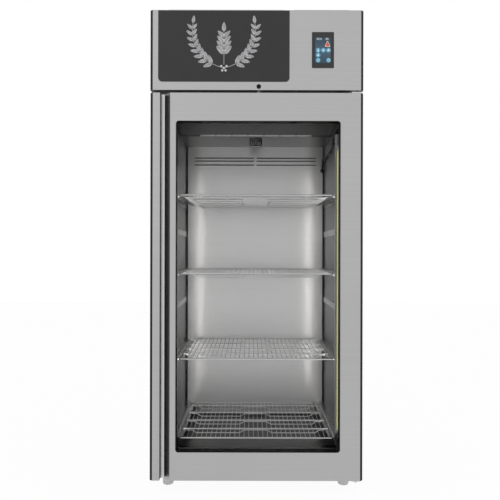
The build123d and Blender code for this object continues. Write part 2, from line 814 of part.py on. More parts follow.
# Condenser on the deck in front of the right-hand louvres
condenser_back = grille_back - casing_sheet - condenser_rear_gap
condenser_front = condenser_back - condenser_depth
condenser_x0 = condenser_centre - condenser_half_width
condenser_x1 = condenser_centre + condenser_half_width
condenser_top = deck_z + condenser_height
condenser_z = deck_z + condenser_height / 2
save(finned_coil(condenser_x0, condenser_x1, condenser_front, condenser_back, deck_z,
                 condenser_top), "condenser")
save(fan_shroud(condenser_x0, condenser_x1, condenser_front, deck_z, condenser_top,
                condenser_z), "condenser_shroud")
save(fan_wheel(condenser_centre, condenser_front, condenser_z), "condenser_fan")

# Evaporator in its insulated housing over the opening in the ceiling
coil_back = evaporator_rear - seat_gap
coil_front = coil_back - coil_depth
coil_half = evaporator_half_width - seat_gap
housing_top = deck_z + housing_height
housing_inner_top = housing_top - housing_wall
evaporator_z = (deck_z + housing_inner_top) / 2
with BuildPart() as evaporator_housing:
    slab(-evaporator_half_width - housing_wall, evaporator_half_width + housing_wall,
         evaporator_front - housing_wall, evaporator_rear + housing_wall, deck_z, housing_top)
    slab(-evaporator_half_width, evaporator_half_width, evaporator_front, evaporator_rear,
         deck_z - overrun, housing_inner_top, Mode.SUBTRACT)
save(evaporator_housing.part, "evaporator_housing")
save(finned_coil(-coil_half, coil_half, coil_front, coil_back, deck_z,
                 housing_inner_top - seat_gap), "evaporator_coil")
save(fan_shroud(-coil_half, coil_half, coil_front, deck_z, housing_inner_top - seat_gap,
                evaporator_z), "evaporator_shroud")
save(fan_wheel(0, coil_front, evaporator_z), "evaporator_fan")

with BuildPart() as fan_motors:
    add(fan_motor(condenser_centre, condenser_front, condenser_z))
    add(fan_motor(0, coil_front, evaporator_z))
save(fan_motors.part, "fan_motors")

# Hermetic compressor on a sprung base plate
compressor_x = compressor_side_gap + compressor_plate_width / 2 - half_width
compressor_setback = grille_back - compressor_rear_gap
plate_z = deck_z + rubber_mount_height
shell_z = plate_z + compressor_plate_sheet
shell_top = shell_z + compressor_height
shell_middle = shell_z + compressor_height / 2
dome_rise = compressor_height / 2 - compressor_dome
with BuildPart() as compressor:
    with BuildSketch(Plane(origin=(compressor_x, level(compressor_setback), shell_middle),
                           x_dir=(1, 0, 0), z_dir=(0, -1, 0))):
        with BuildLine():
            dome = [(compressor_radius - compressor_dome * share,
                     dome_rise + compressor_dome * math.sqrt(1 - (1 - share) ** 2))
                    for share in dome_shares]
            Polyline((0, -weld_band / 2), (compressor_radius + weld_proud, -weld_band / 2),
                     (compressor_radius + weld_proud, weld_band / 2),
                     (compressor_radius, weld_band / 2), *dome, (0, dome[-1][1]), close=True)
        make_face()
        mirror(about=Plane.XZ)
    revolve(axis=Axis((compressor_x, level(compressor_setback), 0), (0, 0, 1)))
save(compressor.part, "compressor")

with BuildPart() as compressor_base:
    slab(compressor_x - compressor_plate_width / 2, compressor_x + compressor_plate_width / 2,
         compressor_setback - compressor_plate_depth / 2,
         compressor_setback + compressor_plate_depth / 2, plate_z, shell_z)
    with Locations((compressor_x, level(compressor_setback),
                    deck_z + rubber_mount_height / 2)):
        with GridLocations(compressor_plate_width - 3 * rubber_mount_radius,
                           compressor_plate_depth - 3 * rubber_mount_radius, 2, 2):
            Cylinder(rubber_mount_radius, rubber_mount_height)
save(compressor_base.part, "compressor_base")

# Copper lines between the compressor, the condenser and the evaporator
port = compressor_radius - compressor_dome - 2 * pipe_radius
pipe_z = housing_top + pipe_bend + pipe_radius
discharge_x = compressor_x + port
suction_x = compressor_x - port
coil_middle = (condenser_front + condenser_back) / 2
liquid_z = deck_z + 2 * pipe_bend
discharge_route = (
    (discharge_x, level(compressor_setback), shell_top),
    (discharge_x, level(compressor_setback), pipe_z),
    (condenser_centre, level(compressor_setback), pipe_z),
    (condenser_centre, level(coil_middle), pipe_z),
    (condenser_centre, level(coil_middle), condenser_top),
)
suction_route = (
    (suction_x, level(compressor_setback), shell_top),
    (suction_x, level(compressor_setback), pipe_z),
    (suction_x, level(evaporator_front), pipe_z),
    (0, level(evaporator_front), pipe_z),
    (0, level(evaporator_front), housing_top),
)
liquid_route = (
    (condenser_x0, level(coil_middle), liquid_z),
    (evaporator_half_width / 2, level(coil_middle), liquid_z),
    (evaporator_half_width / 2, level(evaporator_rear + housing_wall), liquid_z),
)
with BuildPart() as refrigerant_pipes:
    for route in (discharge_route, suction_route, liquid_route):
        with BuildLine() as pipe_path:
            FilletPolyline(*route, radius=pipe_bend)
        with BuildSketch(Plane(origin=pipe_path.line @ 0, z_dir=pipe_path.line % 0)):
            RegularPolygon(pipe_radius, pipe_sides)
        sweep(path=pipe_path.line)
save(refrigerant_pipes.part, "refrigerant_pipes")

# Control box behind the touch panel, and the mains gland in the rear panel
box_front = fascia_back + control_box_front_gap
with BuildPart() as control_box:
    slab(display_x - control_box_width / 2, display_x + control_box_width / 2, box_front,
         box_front + control_box_depth, deck_z, deck_z + control_box_height)
    fillet(control_box.edges().filter_by(Axis.Z), radius=control_box_radius)
save(control_box.part, "control_box")

with BuildPart() as cable_gland:
    peg(gland_x, grille_back - rear_grille_recess, depth, gland_z, gland_radius)
    peg(gland_x, grille_back, grille_back + gland_flange, gland_z, gland_flange_radius)
    peg(gland_x, grille_back - rear_grille_recess - overrun, depth + overrun, gland_z,
        gland_bore, Mode.SUBTRACT)
save(cable_gland.part, "cable_gland")

# Air tray under the ceiling: a sloping front, a slotted lip and a flat underside
tray_half = liner_half - liner_corner
tray_z = chamber_top - tray_drop
tray_underside = tray_z - tray_sheet / 2
tray_lip_setback = evaporator_front - tray_lip_lead
tray_slot_pitch = 2 * (tray_half - tray_slot_margin) / tray_slots
with BuildPart() as air_tray:
    with BuildSketch(Plane.YZ.offset(-tray_half)):
        with BuildLine():
            Polyline((level(tray_lip_setback - tray_slope_length), liner_ceiling - tray_sheet),
                     (level(tray_lip_setback), tray_z + tray_lip),
                     (level(tray_lip_setback), tray_z),
                     (level(liner_back), tray_z))
        trace(line_width=tray_sheet)
    extrude(amount=2 * tray_half)
    with BuildSketch(facing(tray_lip_setback - tray_sheet)):
        with Locations((0, tray_z + tray_lip / 2)):
            with GridLocations(tray_slot_pitch, 0, tray_slots, 1):
                Rectangle(tray_slot_pitch - tray_slot_bridge, tray_slot_height)
    extrude(amount=-2 * tray_sheet, mode=Mode.SUBTRACT)
    slab(-evaporator_half_width, evaporator_half_width,
         liner_back - return_slot_depth - tray_lip, liner_back - tray_lip,
         tray_z - overrun, tray_z + overrun, Mode.SUBTRACT)
save(air_tray.part, "air_tray")

# Duct panel: a shallow pan on the rear wall with return slots along its top
duct_slot_length = tray_half - duct_slot_margin - duct_slot_bridge / 2
with BuildPart() as duct_panel:
    slab(-tray_half, tray_half, duct_setback, liner_back, liner_floor + duct_floor_gap,
         tray_underside)
    offset(amount=-duct_sheet, openings=[duct_panel.faces().sort_by(Axis.Y)[-1],
                                         duct_panel.faces().sort_by(Axis.Z)[-1]])
    with BuildSketch(facing(duct_setback - overrun)):
        for drop in duct_slot_drops:
            with Locations((0, tray_z - drop)):
                with GridLocations(duct_slot_length + duct_slot_bridge, 0, 2, 1):
                    Rectangle(duct_slot_length, duct_slot_height)
    extrude(amount=-(duct_sheet + 2 * overrun), mode=Mode.SUBTRACT)
save(duct_panel.part, "duct_panel")

# Slotted guard under the tray with the temperature and humidity probe inside
guard_setback = evaporator_front - guard_lead
guard_z = tray_underside - guard_height
slot_middle = guard_z + guard_height / 2
slot_length = guard_height - 2 * guard_slot_margin
with BuildPart() as probe_guard:
    slab(-guard_width / 2, guard_width / 2, guard_setback - guard_depth / 2,
         guard_setback + guard_depth / 2, guard_z, tray_underside)
    fillet(probe_guard.edges().filter_by(Axis.Z), radius=guard_wall * 2)
    offset(amount=-guard_wall, openings=probe_guard.faces().sort_by(Axis.Z)[-1])
    with BuildSketch(facing(guard_setback - guard_depth)):
        with Locations((0, slot_middle)):
            with GridLocations(guard_slot_pitch, 0, guard_slots, 1):
                Rectangle(guard_slot_width, slot_length)
    extrude(amount=-2 * guard_depth, mode=Mode.SUBTRACT)
save(probe_guard.part, "probe_guard")

with BuildPart() as probe:
    rod(0, guard_setback, tray_underside - probe_length, tray_underside, probe_radius)
    chamfer(probe.edges().sort_by(Axis.Z)[0], length=probe_radius / 2)
save(probe.part, "probe")

# Lamp bars up the two front corners, each with a light strip let into its face
lamp_x = liner_half - lamp_width
lamp_z = liner_floor + lamp_foot_gap
lamp_height = liner_ceiling - lamp_head_gap - lamp_z
strip_x = lamp_x + strip_inset
strip_length = lamp_height - strip_foot_gap - strip_head_gap
with BuildPart() as lamp_bar_right:
    with BuildSketch(Plane.XY.offset(lamp_z)):
        with BuildLine():
            Polyline((lamp_x, level(lamp_setback)), (liner_half, level(lamp_setback)),
                     (liner_half, level(lamp_setback + lamp_depth)),
                     (lamp_x + lamp_edge, level(lamp_setback + lamp_depth)),
                     (lamp_x, level(lamp_setback + lamp_depth - lamp_edge)), close=True)
        make_face()
    extrude(amount=lamp_height)
    slab(strip_x, strip_x + strip_width, lamp_setback - overrun, lamp_setback + strip_depth,
         lamp_z + strip_foot_gap, lamp_z + strip_foot_gap + strip_length, Mode.SUBTRACT)

with BuildPart() as lamp_bars:
    add(lamp_bar_right.part)
    mirror(lamp_bar_right.part, about=Plane.YZ)
save(lamp_bars.part, "lamp_bars")

with BuildPart() as lamp_strips:
    slab(strip_x, strip_x + strip_width, lamp_setback, lamp_setback + strip_depth,
         lamp_z + strip_foot_gap, lamp_z + strip_foot_gap + strip_length)
    mirror(about=Plane.YZ)
save(lamp_strips.part, "lamp_strips")

# The right-hand lamp's lead, held along the side wall to a plug and down to a grommet.
# Each point is given by its gap from the wall, its place along the run and its drop.
lead_start = lamp_setback + lamp_depth / 2 + 1
grommet_face = duct_setback - grommet_flange
plug_front = grommet_face - lead_plug_length - lead_tail_run
lead_top = [
    (liner_half - gap, level(lead_start + share * (plug_front - lead_start)),
     liner_ceiling - drop)
    for gap, share, drop in (
        (10, 0, lamp_head_gap), (10, 0, 83), (9, 0.107, 79), (8, 0.223, 87),
        (7, 0.335, 101), (7, 0.397, 125), (7, 0.513, 132), (8, 0.652, 135),
        (7, 0.808, 139), (7, 1, 139))
]
lead_tail = [
    (liner_half - gap, level(grommet_face - back), liner_ceiling - drop)
    for gap, back, drop in (
        (7, lead_tail_run, 139), (7, 22, 139), (8, 20, 165), (10, 20, 189), (10, 0, 189))
]


def bend_radii(route):
    """Largest arc at each corner that its two runs leave room for."""
    points = [Vector(*place) for place in route]
    radii = []
    for before, here, after in zip(points, points[1:], points[2:]):
        first, second = here - before, after - here
        half_turn = math.radians(first.get_angle(second)) / 2
        radii.append(bend_share * min(first.length, second.length) / math.tan(half_turn))
    return radii


with BuildPart() as lamp_lead:
    for route in (lead_top, lead_tail):
        print("lead radii", [round(radius) for radius in bend_radii(route)])
        with BuildLine() as lead_path:
            FilletPolyline(*route, radius=bend_radii(route))
        with BuildSketch(Plane(origin=lead_path.line @ 0, z_dir=lead_path.line % 0)):
            RegularPolygon(lead_radius, pipe_sides)
        sweep(path=lead_path.line)
save(lamp_lead.part, "lamp_lead")

lead_plug_front = Vector(*lead_top[-1])
grommet_end = Vector(*lead_tail[-1])
with BuildPart() as lead_fittings:
    with Locations(((lead_plug_front + Vector(*lead_tail[0])) / 2)):
        Cylinder(lead_plug_radius, lead_plug_length, rotation=(90, 0, 0))
    peg(grommet_end.X, grommet_face, duct_setback, grommet_end.Z, grommet_radius)
save(lead_fittings.part, "lead_fittings")


# Shelf runners: folded rails with a wall web, a flange and a lower ledge for the shelf
support_pitch = (chamber_height - tray_drop - shelf_low - support_head) / support_positions


def support_level(slot):
    """Height of one support position."""
    return floor_z + shelf_low + slot * support_pitch


runner_length = duct_setback - runner_rear_gap - runner_front
web_x = liner_half - runner_sheet / 2
flange_x = liner_half - runner_flange_width
ledge_x = flange_x - runner_ledge_width
ledge_drop = cross_wire_radius + weld_depth + seat_gap + runner_sheet / 2
with BuildPart() as runners_right:
    for slot in shelf_slots:
        rail_z = support_level(slot)
        with BuildSketch(facing(runner_front)):
            with BuildLine():
                Polyline((web_x, rail_z + runner_flange_rise - runner_web),
                         (web_x, rail_z + runner_flange_rise),
                         (flange_x, rail_z + runner_flange_rise),
                         (flange_x, rail_z - ledge_drop), (ledge_x, rail_z - ledge_drop))
            trace(line_width=runner_sheet)
        extrude(amount=-runner_length)

with BuildPart() as shelf_runners:
    add(runners_right.part)
    mirror(runners_right.part, about=Plane.YZ)
save(shelf_runners.part, "shelf_runners")

with BuildPart() as spare_rails:
    for slot in spare_slots:
        slab(liner_half - spare_rail_thickness, liner_half, runner_front,
             runner_front + runner_length, support_level(slot) - runner_web,
             support_level(slot))
    mirror(about=Plane.YZ)
save(spare_rails.part, "spare_rails")


# Wire shelves: a welded grid on four cross wires, each trussed by a bent brace below it
shelf_half_width = liner_half - shelf_side_gap
shelf_depth = duct_setback - shelf_rear_gap - shelf_front
long_wire_pitch = 2 * (shelf_half_width - long_wire_edge) / (long_wire_count - 1)
cross_wire_pitch = (shelf_depth - rear_truss_gap) / (cross_wire_count - 1)


def wire_shelf(z):
    """Grid of front-to-back wires over its front and rear wires, and the trussed wires."""
    long_z = z + cross_wire_radius + long_wire_radius - weld_depth
    brace_z = -cross_wire_radius - brace_section / 2
    brace_low = brace_z - brace_drop + brace_section / 2
    brace_end = shelf_half_width - brace_end_gap - brace_section
    brace_foot = brace_end - brace_end_flat - brace_bend_run
    centre_foot = brace_centre_half + brace_bend_run
    with BuildPart() as shelf:
        with BuildSketch(facing(shelf_front)):
            with Locations((0, long_z)):
                with GridLocations(long_wire_pitch, 0, long_wire_count, 1):
                    Rectangle(2 * long_wire_radius, 2 * long_wire_radius)
        extrude(amount=-shelf_depth)
        with BuildSketch(Plane.YZ.offset(-shelf_half_width)):
            with Locations((level(shelf_front), z), (level(shelf_front + shelf_depth), z)):
                RegularPolygon(cross_wire_radius, wire_sides, major_radius=False)
        extrude(amount=2 * shelf_half_width)
    with BuildPart() as truss:
        with BuildSketch(Plane.YZ.offset(-shelf_half_width)):
            with Locations((level(shelf_front + cross_wire_pitch), z - weld_depth)):
                RegularPolygon(cross_wire_radius, wire_sides, major_radius=False)
        extrude(amount=2 * shelf_half_width)
        with BuildSketch(facing(shelf_front + cross_wire_pitch - brace_section / 2, z)):
            with BuildLine():
                Polyline((-brace_end, brace_z), (brace_end_flat - brace_end, brace_z),
                         (-brace_foot, brace_low), (-centre_foot, brace_low),
                         (-brace_centre_half, brace_z), (brace_centre_half, brace_z),
                         (centre_foot, brace_low), (brace_foot, brace_low),
                         (brace_end - brace_end_flat, brace_z), (brace_end, brace_z))
            trace(line_width=brace_section)
        extrude(amount=-brace_section)
    with BuildPart() as whole:
        add(shelf.part)
        for place in range(cross_wire_count - 1):
            with Locations((0, place * cross_wire_pitch, 0)):
                add(truss.part)
    return whole.part


for number, slot in enumerate(shelf_slots, start=1):
    save(wire_shelf(support_level(slot)), f"shelf_{number}")
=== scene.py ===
import bmesh
import bpy
import json
import math
from mathutils import Matrix, Vector


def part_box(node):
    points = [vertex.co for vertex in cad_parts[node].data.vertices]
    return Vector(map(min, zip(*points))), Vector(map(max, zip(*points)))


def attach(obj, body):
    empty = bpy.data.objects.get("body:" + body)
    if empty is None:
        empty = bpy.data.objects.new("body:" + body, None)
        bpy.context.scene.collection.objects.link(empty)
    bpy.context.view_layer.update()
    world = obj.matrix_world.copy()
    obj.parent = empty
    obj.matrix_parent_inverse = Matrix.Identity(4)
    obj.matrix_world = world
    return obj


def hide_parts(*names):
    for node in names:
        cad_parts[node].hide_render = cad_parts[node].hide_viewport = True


# The dry aging cabinet's finished look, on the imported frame.
# Lengths in the making of a piece are millimetres: X to the right, p back from the door's
# face and Z up, as in the cabinet's drawings. Finished meshes are in metres.
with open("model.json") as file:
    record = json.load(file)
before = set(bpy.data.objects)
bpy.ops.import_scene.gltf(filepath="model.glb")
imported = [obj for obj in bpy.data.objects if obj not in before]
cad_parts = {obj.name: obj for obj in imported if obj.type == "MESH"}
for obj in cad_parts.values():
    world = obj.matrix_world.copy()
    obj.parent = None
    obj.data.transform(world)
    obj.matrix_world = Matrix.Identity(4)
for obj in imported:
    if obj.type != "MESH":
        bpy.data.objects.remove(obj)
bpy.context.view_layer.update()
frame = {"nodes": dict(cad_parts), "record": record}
nodes = frame["nodes"]

DEPTH = 730.0
CAMERA_LENS = 38.55
CAMERA_PLACE = (-0.0274, -2.619, 1.037)
CAMERA_ROLL = -0.0023
FLOOR_HALF = 8.0
FLOOR_PAINT = 0.93
FLOOR_GLOW_SEEN = 0.95
FLOOR_GLOW_MIRRORED = 0.8
WORLD_LIGHT = 0.8
PANE_TINT = 0.986
GRAIN_DEPTH = 0.0002

# Lamp tubes on the chamber's sides
TUBE_X, TUBE_P, TUBE_Z = 345.0, 99.5, 864.0
TUBE_AIM_P = 600.0
TUBE_WIDTH, TUBE_LENGTH = 0.009, 1.217
TUBE_POWER = 0.3
TUBE_COLOUR = (1.0, 0.98, 0.94)


def at(x, p, z):
    """Point in metres from millimetres across, behind the door's face and up."""
    return Vector((x, p - DEPTH / 2, z)) / 1000


# Camera, pale floor, white surroundings and soft lamps
def set_camera():
    """Level camera in front of the door."""
    lens = bpy.data.cameras.new("front_camera")
    lens.lens = CAMERA_LENS
    lens.sensor_width = 36.0
    lens.clip_end = 60.0
    camera = bpy.data.objects.new("front_camera", lens)
    camera.location = CAMERA_PLACE
    camera.rotation_euler = (math.pi / 2, CAMERA_ROLL, 0)
    bpy.context.scene.collection.objects.link(camera)
    bpy.context.scene.camera = camera


def put(tree, kind, settings, links):
    """Add one shader node; each link is a value or another node's socket."""
    made = tree.nodes.new("ShaderNode" + kind)
    for name, value in settings.items():
        setattr(made, name, value)
    for key, value in links.items():
        socket = made.inputs[key]
        if isinstance(value, bpy.types.NodeSocket):
            tree.links.new(value, socket)
        else:
            socket.default_value = value
    return made


def tone(red, green, blue):
    """Linear colour from the 0 to 255 values that a screen shows."""
    linear = []
    for value in (red, green, blue):
        share = value / 255
        linear.append(share / 12.92 if share <= 0.04045 else ((share + 0.055) / 1.055) ** 2.4)
    return (*linear, 1.0)


def set_surroundings():
    """White world that lights a little less than it shows, and a floor that keeps a shadow."""
    world = bpy.data.worlds.new("studio")
    bpy.context.scene.world = world
    world.use_nodes = True
    tree = world.node_tree
    background = tree.nodes["Background"]
    background.inputs["Color"].default_value = (1, 1, 1, 1)
    path = put(tree, "LightPath", {}, {})
    seen = put(tree, "Math", {"operation": "MAXIMUM"},
               {0: path.outputs["Is Camera Ray"], 1: path.outputs["Is Glossy Ray"]})
    seen = put(tree, "Math", {"operation": "MAXIMUM"},
               {0: seen.outputs[0], 1: path.outputs["Is Transmission Ray"]})
    strength = put(tree, "MapRange", {},
                   {"Value": seen.outputs[0], "To Min": WORLD_LIGHT, "To Max": 1.0})
    tree.links.new(strength.outputs[0], background.inputs["Strength"])

    bm = bmesh.new()
    bmesh.ops.create_grid(bm, x_segments=1, y_segments=1, size=FLOOR_HALF)
    mesh = bpy.data.meshes.new("floor")
    bm.to_mesh(mesh)
    bm.free()
    floor = bpy.data.objects.new("floor", mesh)
    bpy.context.scene.collection.objects.link(floor)
    material = bpy.data.materials.new("floor_paint")
    material.use_nodes = True
    tree = material.node_tree
    paint = tree.nodes["Principled BSDF"]
    paint.inputs["Base Color"].default_value = (FLOOR_PAINT, FLOOR_PAINT, FLOOR_PAINT, 1)
    paint.inputs["Roughness"].default_value = 1.0
    paint.inputs["Specular IOR Level"].default_value = 0.0
    glow = put(tree, "Emission", {}, {"Color": (1, 1, 1, 1), "Strength": 1.0})
    path = put(tree, "LightPath", {}, {})
    share = put(tree, "Math", {"operation": "MULTIPLY"},
                {0: path.outputs["Is Glossy Ray"], 1: FLOOR_GLOW_MIRRORED})
    share = put(tree, "Math", {"operation": "MULTIPLY_ADD"},
                {0: path.outputs["Is Camera Ray"], 1: FLOOR_GLOW_SEEN, 2: share.outputs[0]})
    mixed = put(tree, "MixShader", {}, {0: share.outputs[0], 1: paint.outputs[0],
                                        2: glow.outputs[0]})
    tree.links.new(mixed.outputs[0], tree.nodes["Material Output"].inputs["Surface"])
    mesh.materials.append(material)


def area_lamp(name, place, aim, width, height, power, colour=(1, 1, 1)):
    """Rectangular lamp at a place, facing a point, unseen by the camera."""
    lamp = bpy.data.lights.new(name, "AREA")
    lamp.shape = "RECTANGLE"
    lamp.size = width
    lamp.size_y = height
    lamp.energy = power
    lamp.color = colour
    holder = bpy.data.objects.new(name, lamp)
    holder.location = place
    holder.rotation_euler = (Vector(aim) - Vector(place)).to_track_quat("-Z", "Y").to_euler()
    holder.visible_camera = False
    bpy.context.scene.collection.objects.link(holder)


bpy.context.scene.view_settings.view_transform = "Standard"
bpy.context.scene.cycles.transparent_max_bounces = 24
set_camera()
set_surroundings()
area_lamp("soft_left", (-2.6, -2.6, 3.0), (0, 0, 1.2), 1.8, 1.8, 14)
area_lamp("soft_right", (2.8, -1.6, 2.4), (0, 0, 1.0), 1.4, 2.0, 10)
for side in (-1, 1):
    area_lamp("chamber_tube", at(side * TUBE_X, TUBE_P, TUBE_Z),
              at(side * TUBE_X, TUBE_AIM_P, TUBE_Z), TUBE_WIDTH, TUBE_LENGTH, TUBE_POWER,
              TUBE_COLOUR)


# Shared effects, each a node group that puts out values from 0 to 1
def start_group(name, inputs, outputs):
    """New node group with its sockets, and its ends for linking."""
    group = bpy.data.node_groups.new(name, "ShaderNodeTree")
    for label, kind, value in inputs:
        socket = group.interface.new_socket(label, in_out="INPUT",
                                            socket_type="NodeSocket" + kind)
        socket.default_value = value
    for label in outputs:
        group.interface.new_socket(label, in_out="OUTPUT", socket_type="NodeSocketFloat")
    return (group, group.nodes.new("NodeGroupInput").outputs,
            group.nodes.new("NodeGroupOutput").inputs)


def make_brushed_grain():
    """Fine brushing lines and broader bands, drawn out along the directions of low stretch."""
    group, given, result = start_group(
        "brushed_grain", (("Position", "Vector", (0, 0, 0)), ("Stretch", "Vector", (2, 2, 600)),
                          ("Band Share", "Float", 0.2)), ("Line", "Band"))
    drawn = put(group, "VectorMath", {"operation": "MULTIPLY"},
                {0: given["Position"], 1: given["Stretch"]})
    line = put(group, "TexNoise", {}, {"Vector": drawn.outputs[0], "Scale": 1.0, "Detail": 3.0,
                                       "Roughness": 0.6})
    group.links.new(line.outputs[0], result["Line"])
    broad = put(group, "VectorMath", {"operation": "SCALE"},
                {0: drawn.outputs[0], "Scale": given["Band Share"]})
    band = put(group, "TexNoise", {}, {"Vector": broad.outputs[0], "Scale": 1.0, "Detail": 2.0,
                                       "Roughness": 0.5})
    group.links.new(band.outputs[0], result["Band"])
    return group


def make_soft_mottle():
    """Cloudy patches, as of wiped metal or aged rubber."""
    group, given, result = start_group(
        "soft_mottle", (("Position", "Vector", (0, 0, 0)), ("Scale", "Float", 6.0)), ("Patch",))
    cloud = put(group, "TexNoise", {}, {"Vector": given["Position"], "Scale": given["Scale"],
                                        "Detail": 4.0, "Roughness": 0.55, "Distortion": 0.3})
    group.links.new(cloud.outputs[0], result["Patch"])
    return group


def make_moulded_grit():
    """Spark-eroded grain of moulded plastic and cast metal."""
    group, given, result = start_group(
        "moulded_grit", (("Position", "Vector", (0, 0, 0)), ("Scale", "Float", 1400.0)),
        ("Grit",))
    pits = put(group, "TexNoise", {}, {"Vector": given["Position"], "Scale": given["Scale"],
                                       "Detail": 2.0, "Roughness": 0.7})
    sharp = put(group, "MapRange", {}, {"Value": pits.outputs[0], "From Min": 0.35,
                                        "From Max": 0.65})
    group.links.new(sharp.outputs[0], result["Grit"])
    return group


def make_zinc_spangle():
    """Crystal patches of a hot-dip coating."""
    group, given, result = start_group(
        "zinc_spangle", (("Position", "Vector", (0, 0, 0)), ("Scale", "Float", 90.0)),
        ("Crystal",))
    bent = put(group, "TexNoise", {}, {"Vector": given["Position"], "Scale": 40.0})
    shift = put(group, "VectorMath", {"operation": "MULTIPLY_ADD"},
                {0: bent.outputs["Color"], 1: (0.01, 0.01, 0.01), 2: given["Position"]})
    cell = put(group, "TexVoronoi", {}, {"Vector": shift.outputs[0], "Scale": given["Scale"]})
    grey = put(group, "SeparateColor", {}, {0: cell.outputs["Color"]})
    group.links.new(grey.outputs[0], result["Crystal"])
    return group


def make_zone():
    """Mask of what lies between a low and a high corner, in metres."""
    group, given, result = start_group(
        "zone", (("Position", "Vector", (0, 0, 0)), ("Low", "Vector", (-1, -1, -1)),
                 ("High", "Vector", (1, 1, 3))), ("Mask",))
    inside = None
    for corner, compare in (("Low", "GREATER_THAN"), ("High", "LESS_THAN")):
        step = put(group, "VectorMath", {"operation": "SUBTRACT"},
                   {0: given["Position"], 1: given[corner]})
        axes = put(group, "SeparateXYZ", {}, {0: step.outputs[0]})
        for axis in "XYZ":
            test = put(group, "Math", {"operation": compare}, {0: axes.outputs[axis], 1: 0.0})
            inside = test if inside is None else put(
                group, "Math", {"operation": "MULTIPLY"}, {0: inside.outputs[0],
                                                           1: test.outputs[0]})
    group.links.new(inside.outputs[0], result["Mask"])
    return group


BRUSHED = make_brushed_grain()
MOTTLE = make_soft_mottle()
GRIT = make_moulded_grit()
SPANGLE = make_zinc_spangle()
ZONE = make_zone()


def new_finish(name):
    """Material with its tree, its shader and the object's own coordinates."""
    material = bpy.data.materials.new(name)
    material.use_nodes = True
    tree = material.node_tree
    place = put(tree, "TexCoord", {}, {}).outputs["Object"]
    return material, tree, tree.nodes["Principled BSDF"], place


def effect(tree, group, values):
    """One placed node group with its own values."""
    placed = tree.nodes.new("ShaderNodeGroup")
    placed.node_tree = group
    for key, value in values.items():
        if isinstance(value, bpy.types.NodeSocket):
            tree.links.new(value, placed.inputs[key])
        else:
            placed.inputs[key].default_value = value
    return placed.outputs


def blend_colour(tree, share, first, second):
    """Mix of two colours or colour sockets."""
    mixed = put(tree, "Mix", {"data_type": "RGBA"}, {"Factor": share, 6: first, 7: second})
    return mixed.outputs[2]


def spread(tree, value, low, high):
    """Value from 0.25 to 0.75 spread between two levels."""
    return put(tree, "MapRange", {}, {"Value": value, "From Min": 0.25, "From Max": 0.75,
                                      "To Min": low, "To Max": high}).outputs[0]


def raise_surface(tree, height, strength, distance):
    """Bump from a height, for the shader's normal."""
    return put(tree, "Bump", {}, {"Height": height, "Strength": strength,
                                  "Distance": distance}).outputs[0]


def steel(name, dark, light, rough, stretch, band_share=0.2, swing=0.06, bump=0.06, zones=(),
          drawn=0.0):
    """Brushed sheet steel: fine lines, broader bands and faint clouds. Zones paint shade, and in
    one place a highlight, into the colour; some also set their own roughness.

    Where drawn is over 0, highlights are drawn out upright, across the brushing."""
    material, tree, shader, place = new_finish(name)
    grain = effect(tree, BRUSHED, {"Position": place, "Stretch": stretch,
                                   "Band Share": band_share})
    cloud = effect(tree, MOTTLE, {"Position": place, "Scale": 2.4})["Patch"]
    streak = put(tree, "Mix", {}, {"Factor": 0.45, 2: grain["Line"], 3: grain["Band"]})
    mixed = put(tree, "Mix", {}, {"Factor": 0.25, 2: streak.outputs[0], 3: cloud})
    share = spread(tree, mixed.outputs[0], 0.0, 1.0)
    colour = blend_colour(tree, share, dark, light)
    gloss = spread(tree, mixed.outputs[0], rough + swing, rough - swing)
    # Each zone's colour is painted shade, or on the grip's floor a painted highlight
    for low, high, shade, *own_rough in zones:
        mask = effect(tree, ZONE, {"Position": place, "Low": low, "High": high})["Mask"]
        colour = blend_colour(tree, mask, colour, shade)
        for level in own_rough:
            gloss = put(tree, "Mix", {}, {"Factor": mask, 2: gloss, 3: level}).outputs[0]
    tree.links.new(colour, shader.inputs["Base Color"])
    tree.links.new(gloss, shader.inputs["Roughness"])
    tree.links.new(raise_surface(tree, grain["Line"], bump, GRAIN_DEPTH), shader.inputs["Normal"])
    shader.inputs["Metallic"].default_value = 1.0
    shader.inputs["Anisotropic"].default_value = drawn
    shader.inputs["Anisotropic Rotation"].default_value = 0.25
    return material


def moulded(name, dark, light, rough, specular=0.35, scale=1400.0, bump=0.1, metallic=0.0):
    """Moulded, cast or coated surface: fine grit over faint clouds."""
    material, tree, shader, place = new_finish(name)
    grit = effect(tree, GRIT, {"Position": place, "Scale": scale})["Grit"]
    cloud = effect(tree, MOTTLE, {"Position": place, "Scale": 14.0})["Patch"]
    share = put(tree, "Mix", {}, {"Factor": 0.6, 2: grit, 3: cloud}).outputs[0]
    tree.links.new(blend_colour(tree, spread(tree, share, 0.0, 1.0), dark, light),
                   shader.inputs["Base Color"])
    tree.links.new(spread(tree, cloud, rough - 0.05, rough + 0.05), shader.inputs["Roughness"])
    tree.links.new(raise_surface(tree, grit, bump, GRAIN_DEPTH), shader.inputs["Normal"])
    shader.inputs["Metallic"].default_value = metallic
    shader.inputs["Specular IOR Level"].default_value = specular
    return material


def galvanised(name, dark, light):
    """Hot-dip coated sheet with its crystal pattern."""
    material, tree, shader, place = new_finish(name)
    crystal = effect(tree, SPANGLE, {"Position": place})["Crystal"]
    cloud = effect(tree, MOTTLE, {"Position": place, "Scale": 3.0})["Patch"]
    share = put(tree, "Mix", {}, {"Factor": 0.5, 2: crystal, 3: cloud}).outputs[0]
    tree.links.new(blend_colour(tree, spread(tree, share, 0.0, 1.0), dark, light),
                   shader.inputs["Base Color"])
    tree.links.new(spread(tree, crystal, 0.42, 0.58), shader.inputs["Roughness"])
    shader.inputs["Metallic"].default_value = 1.0
    return material


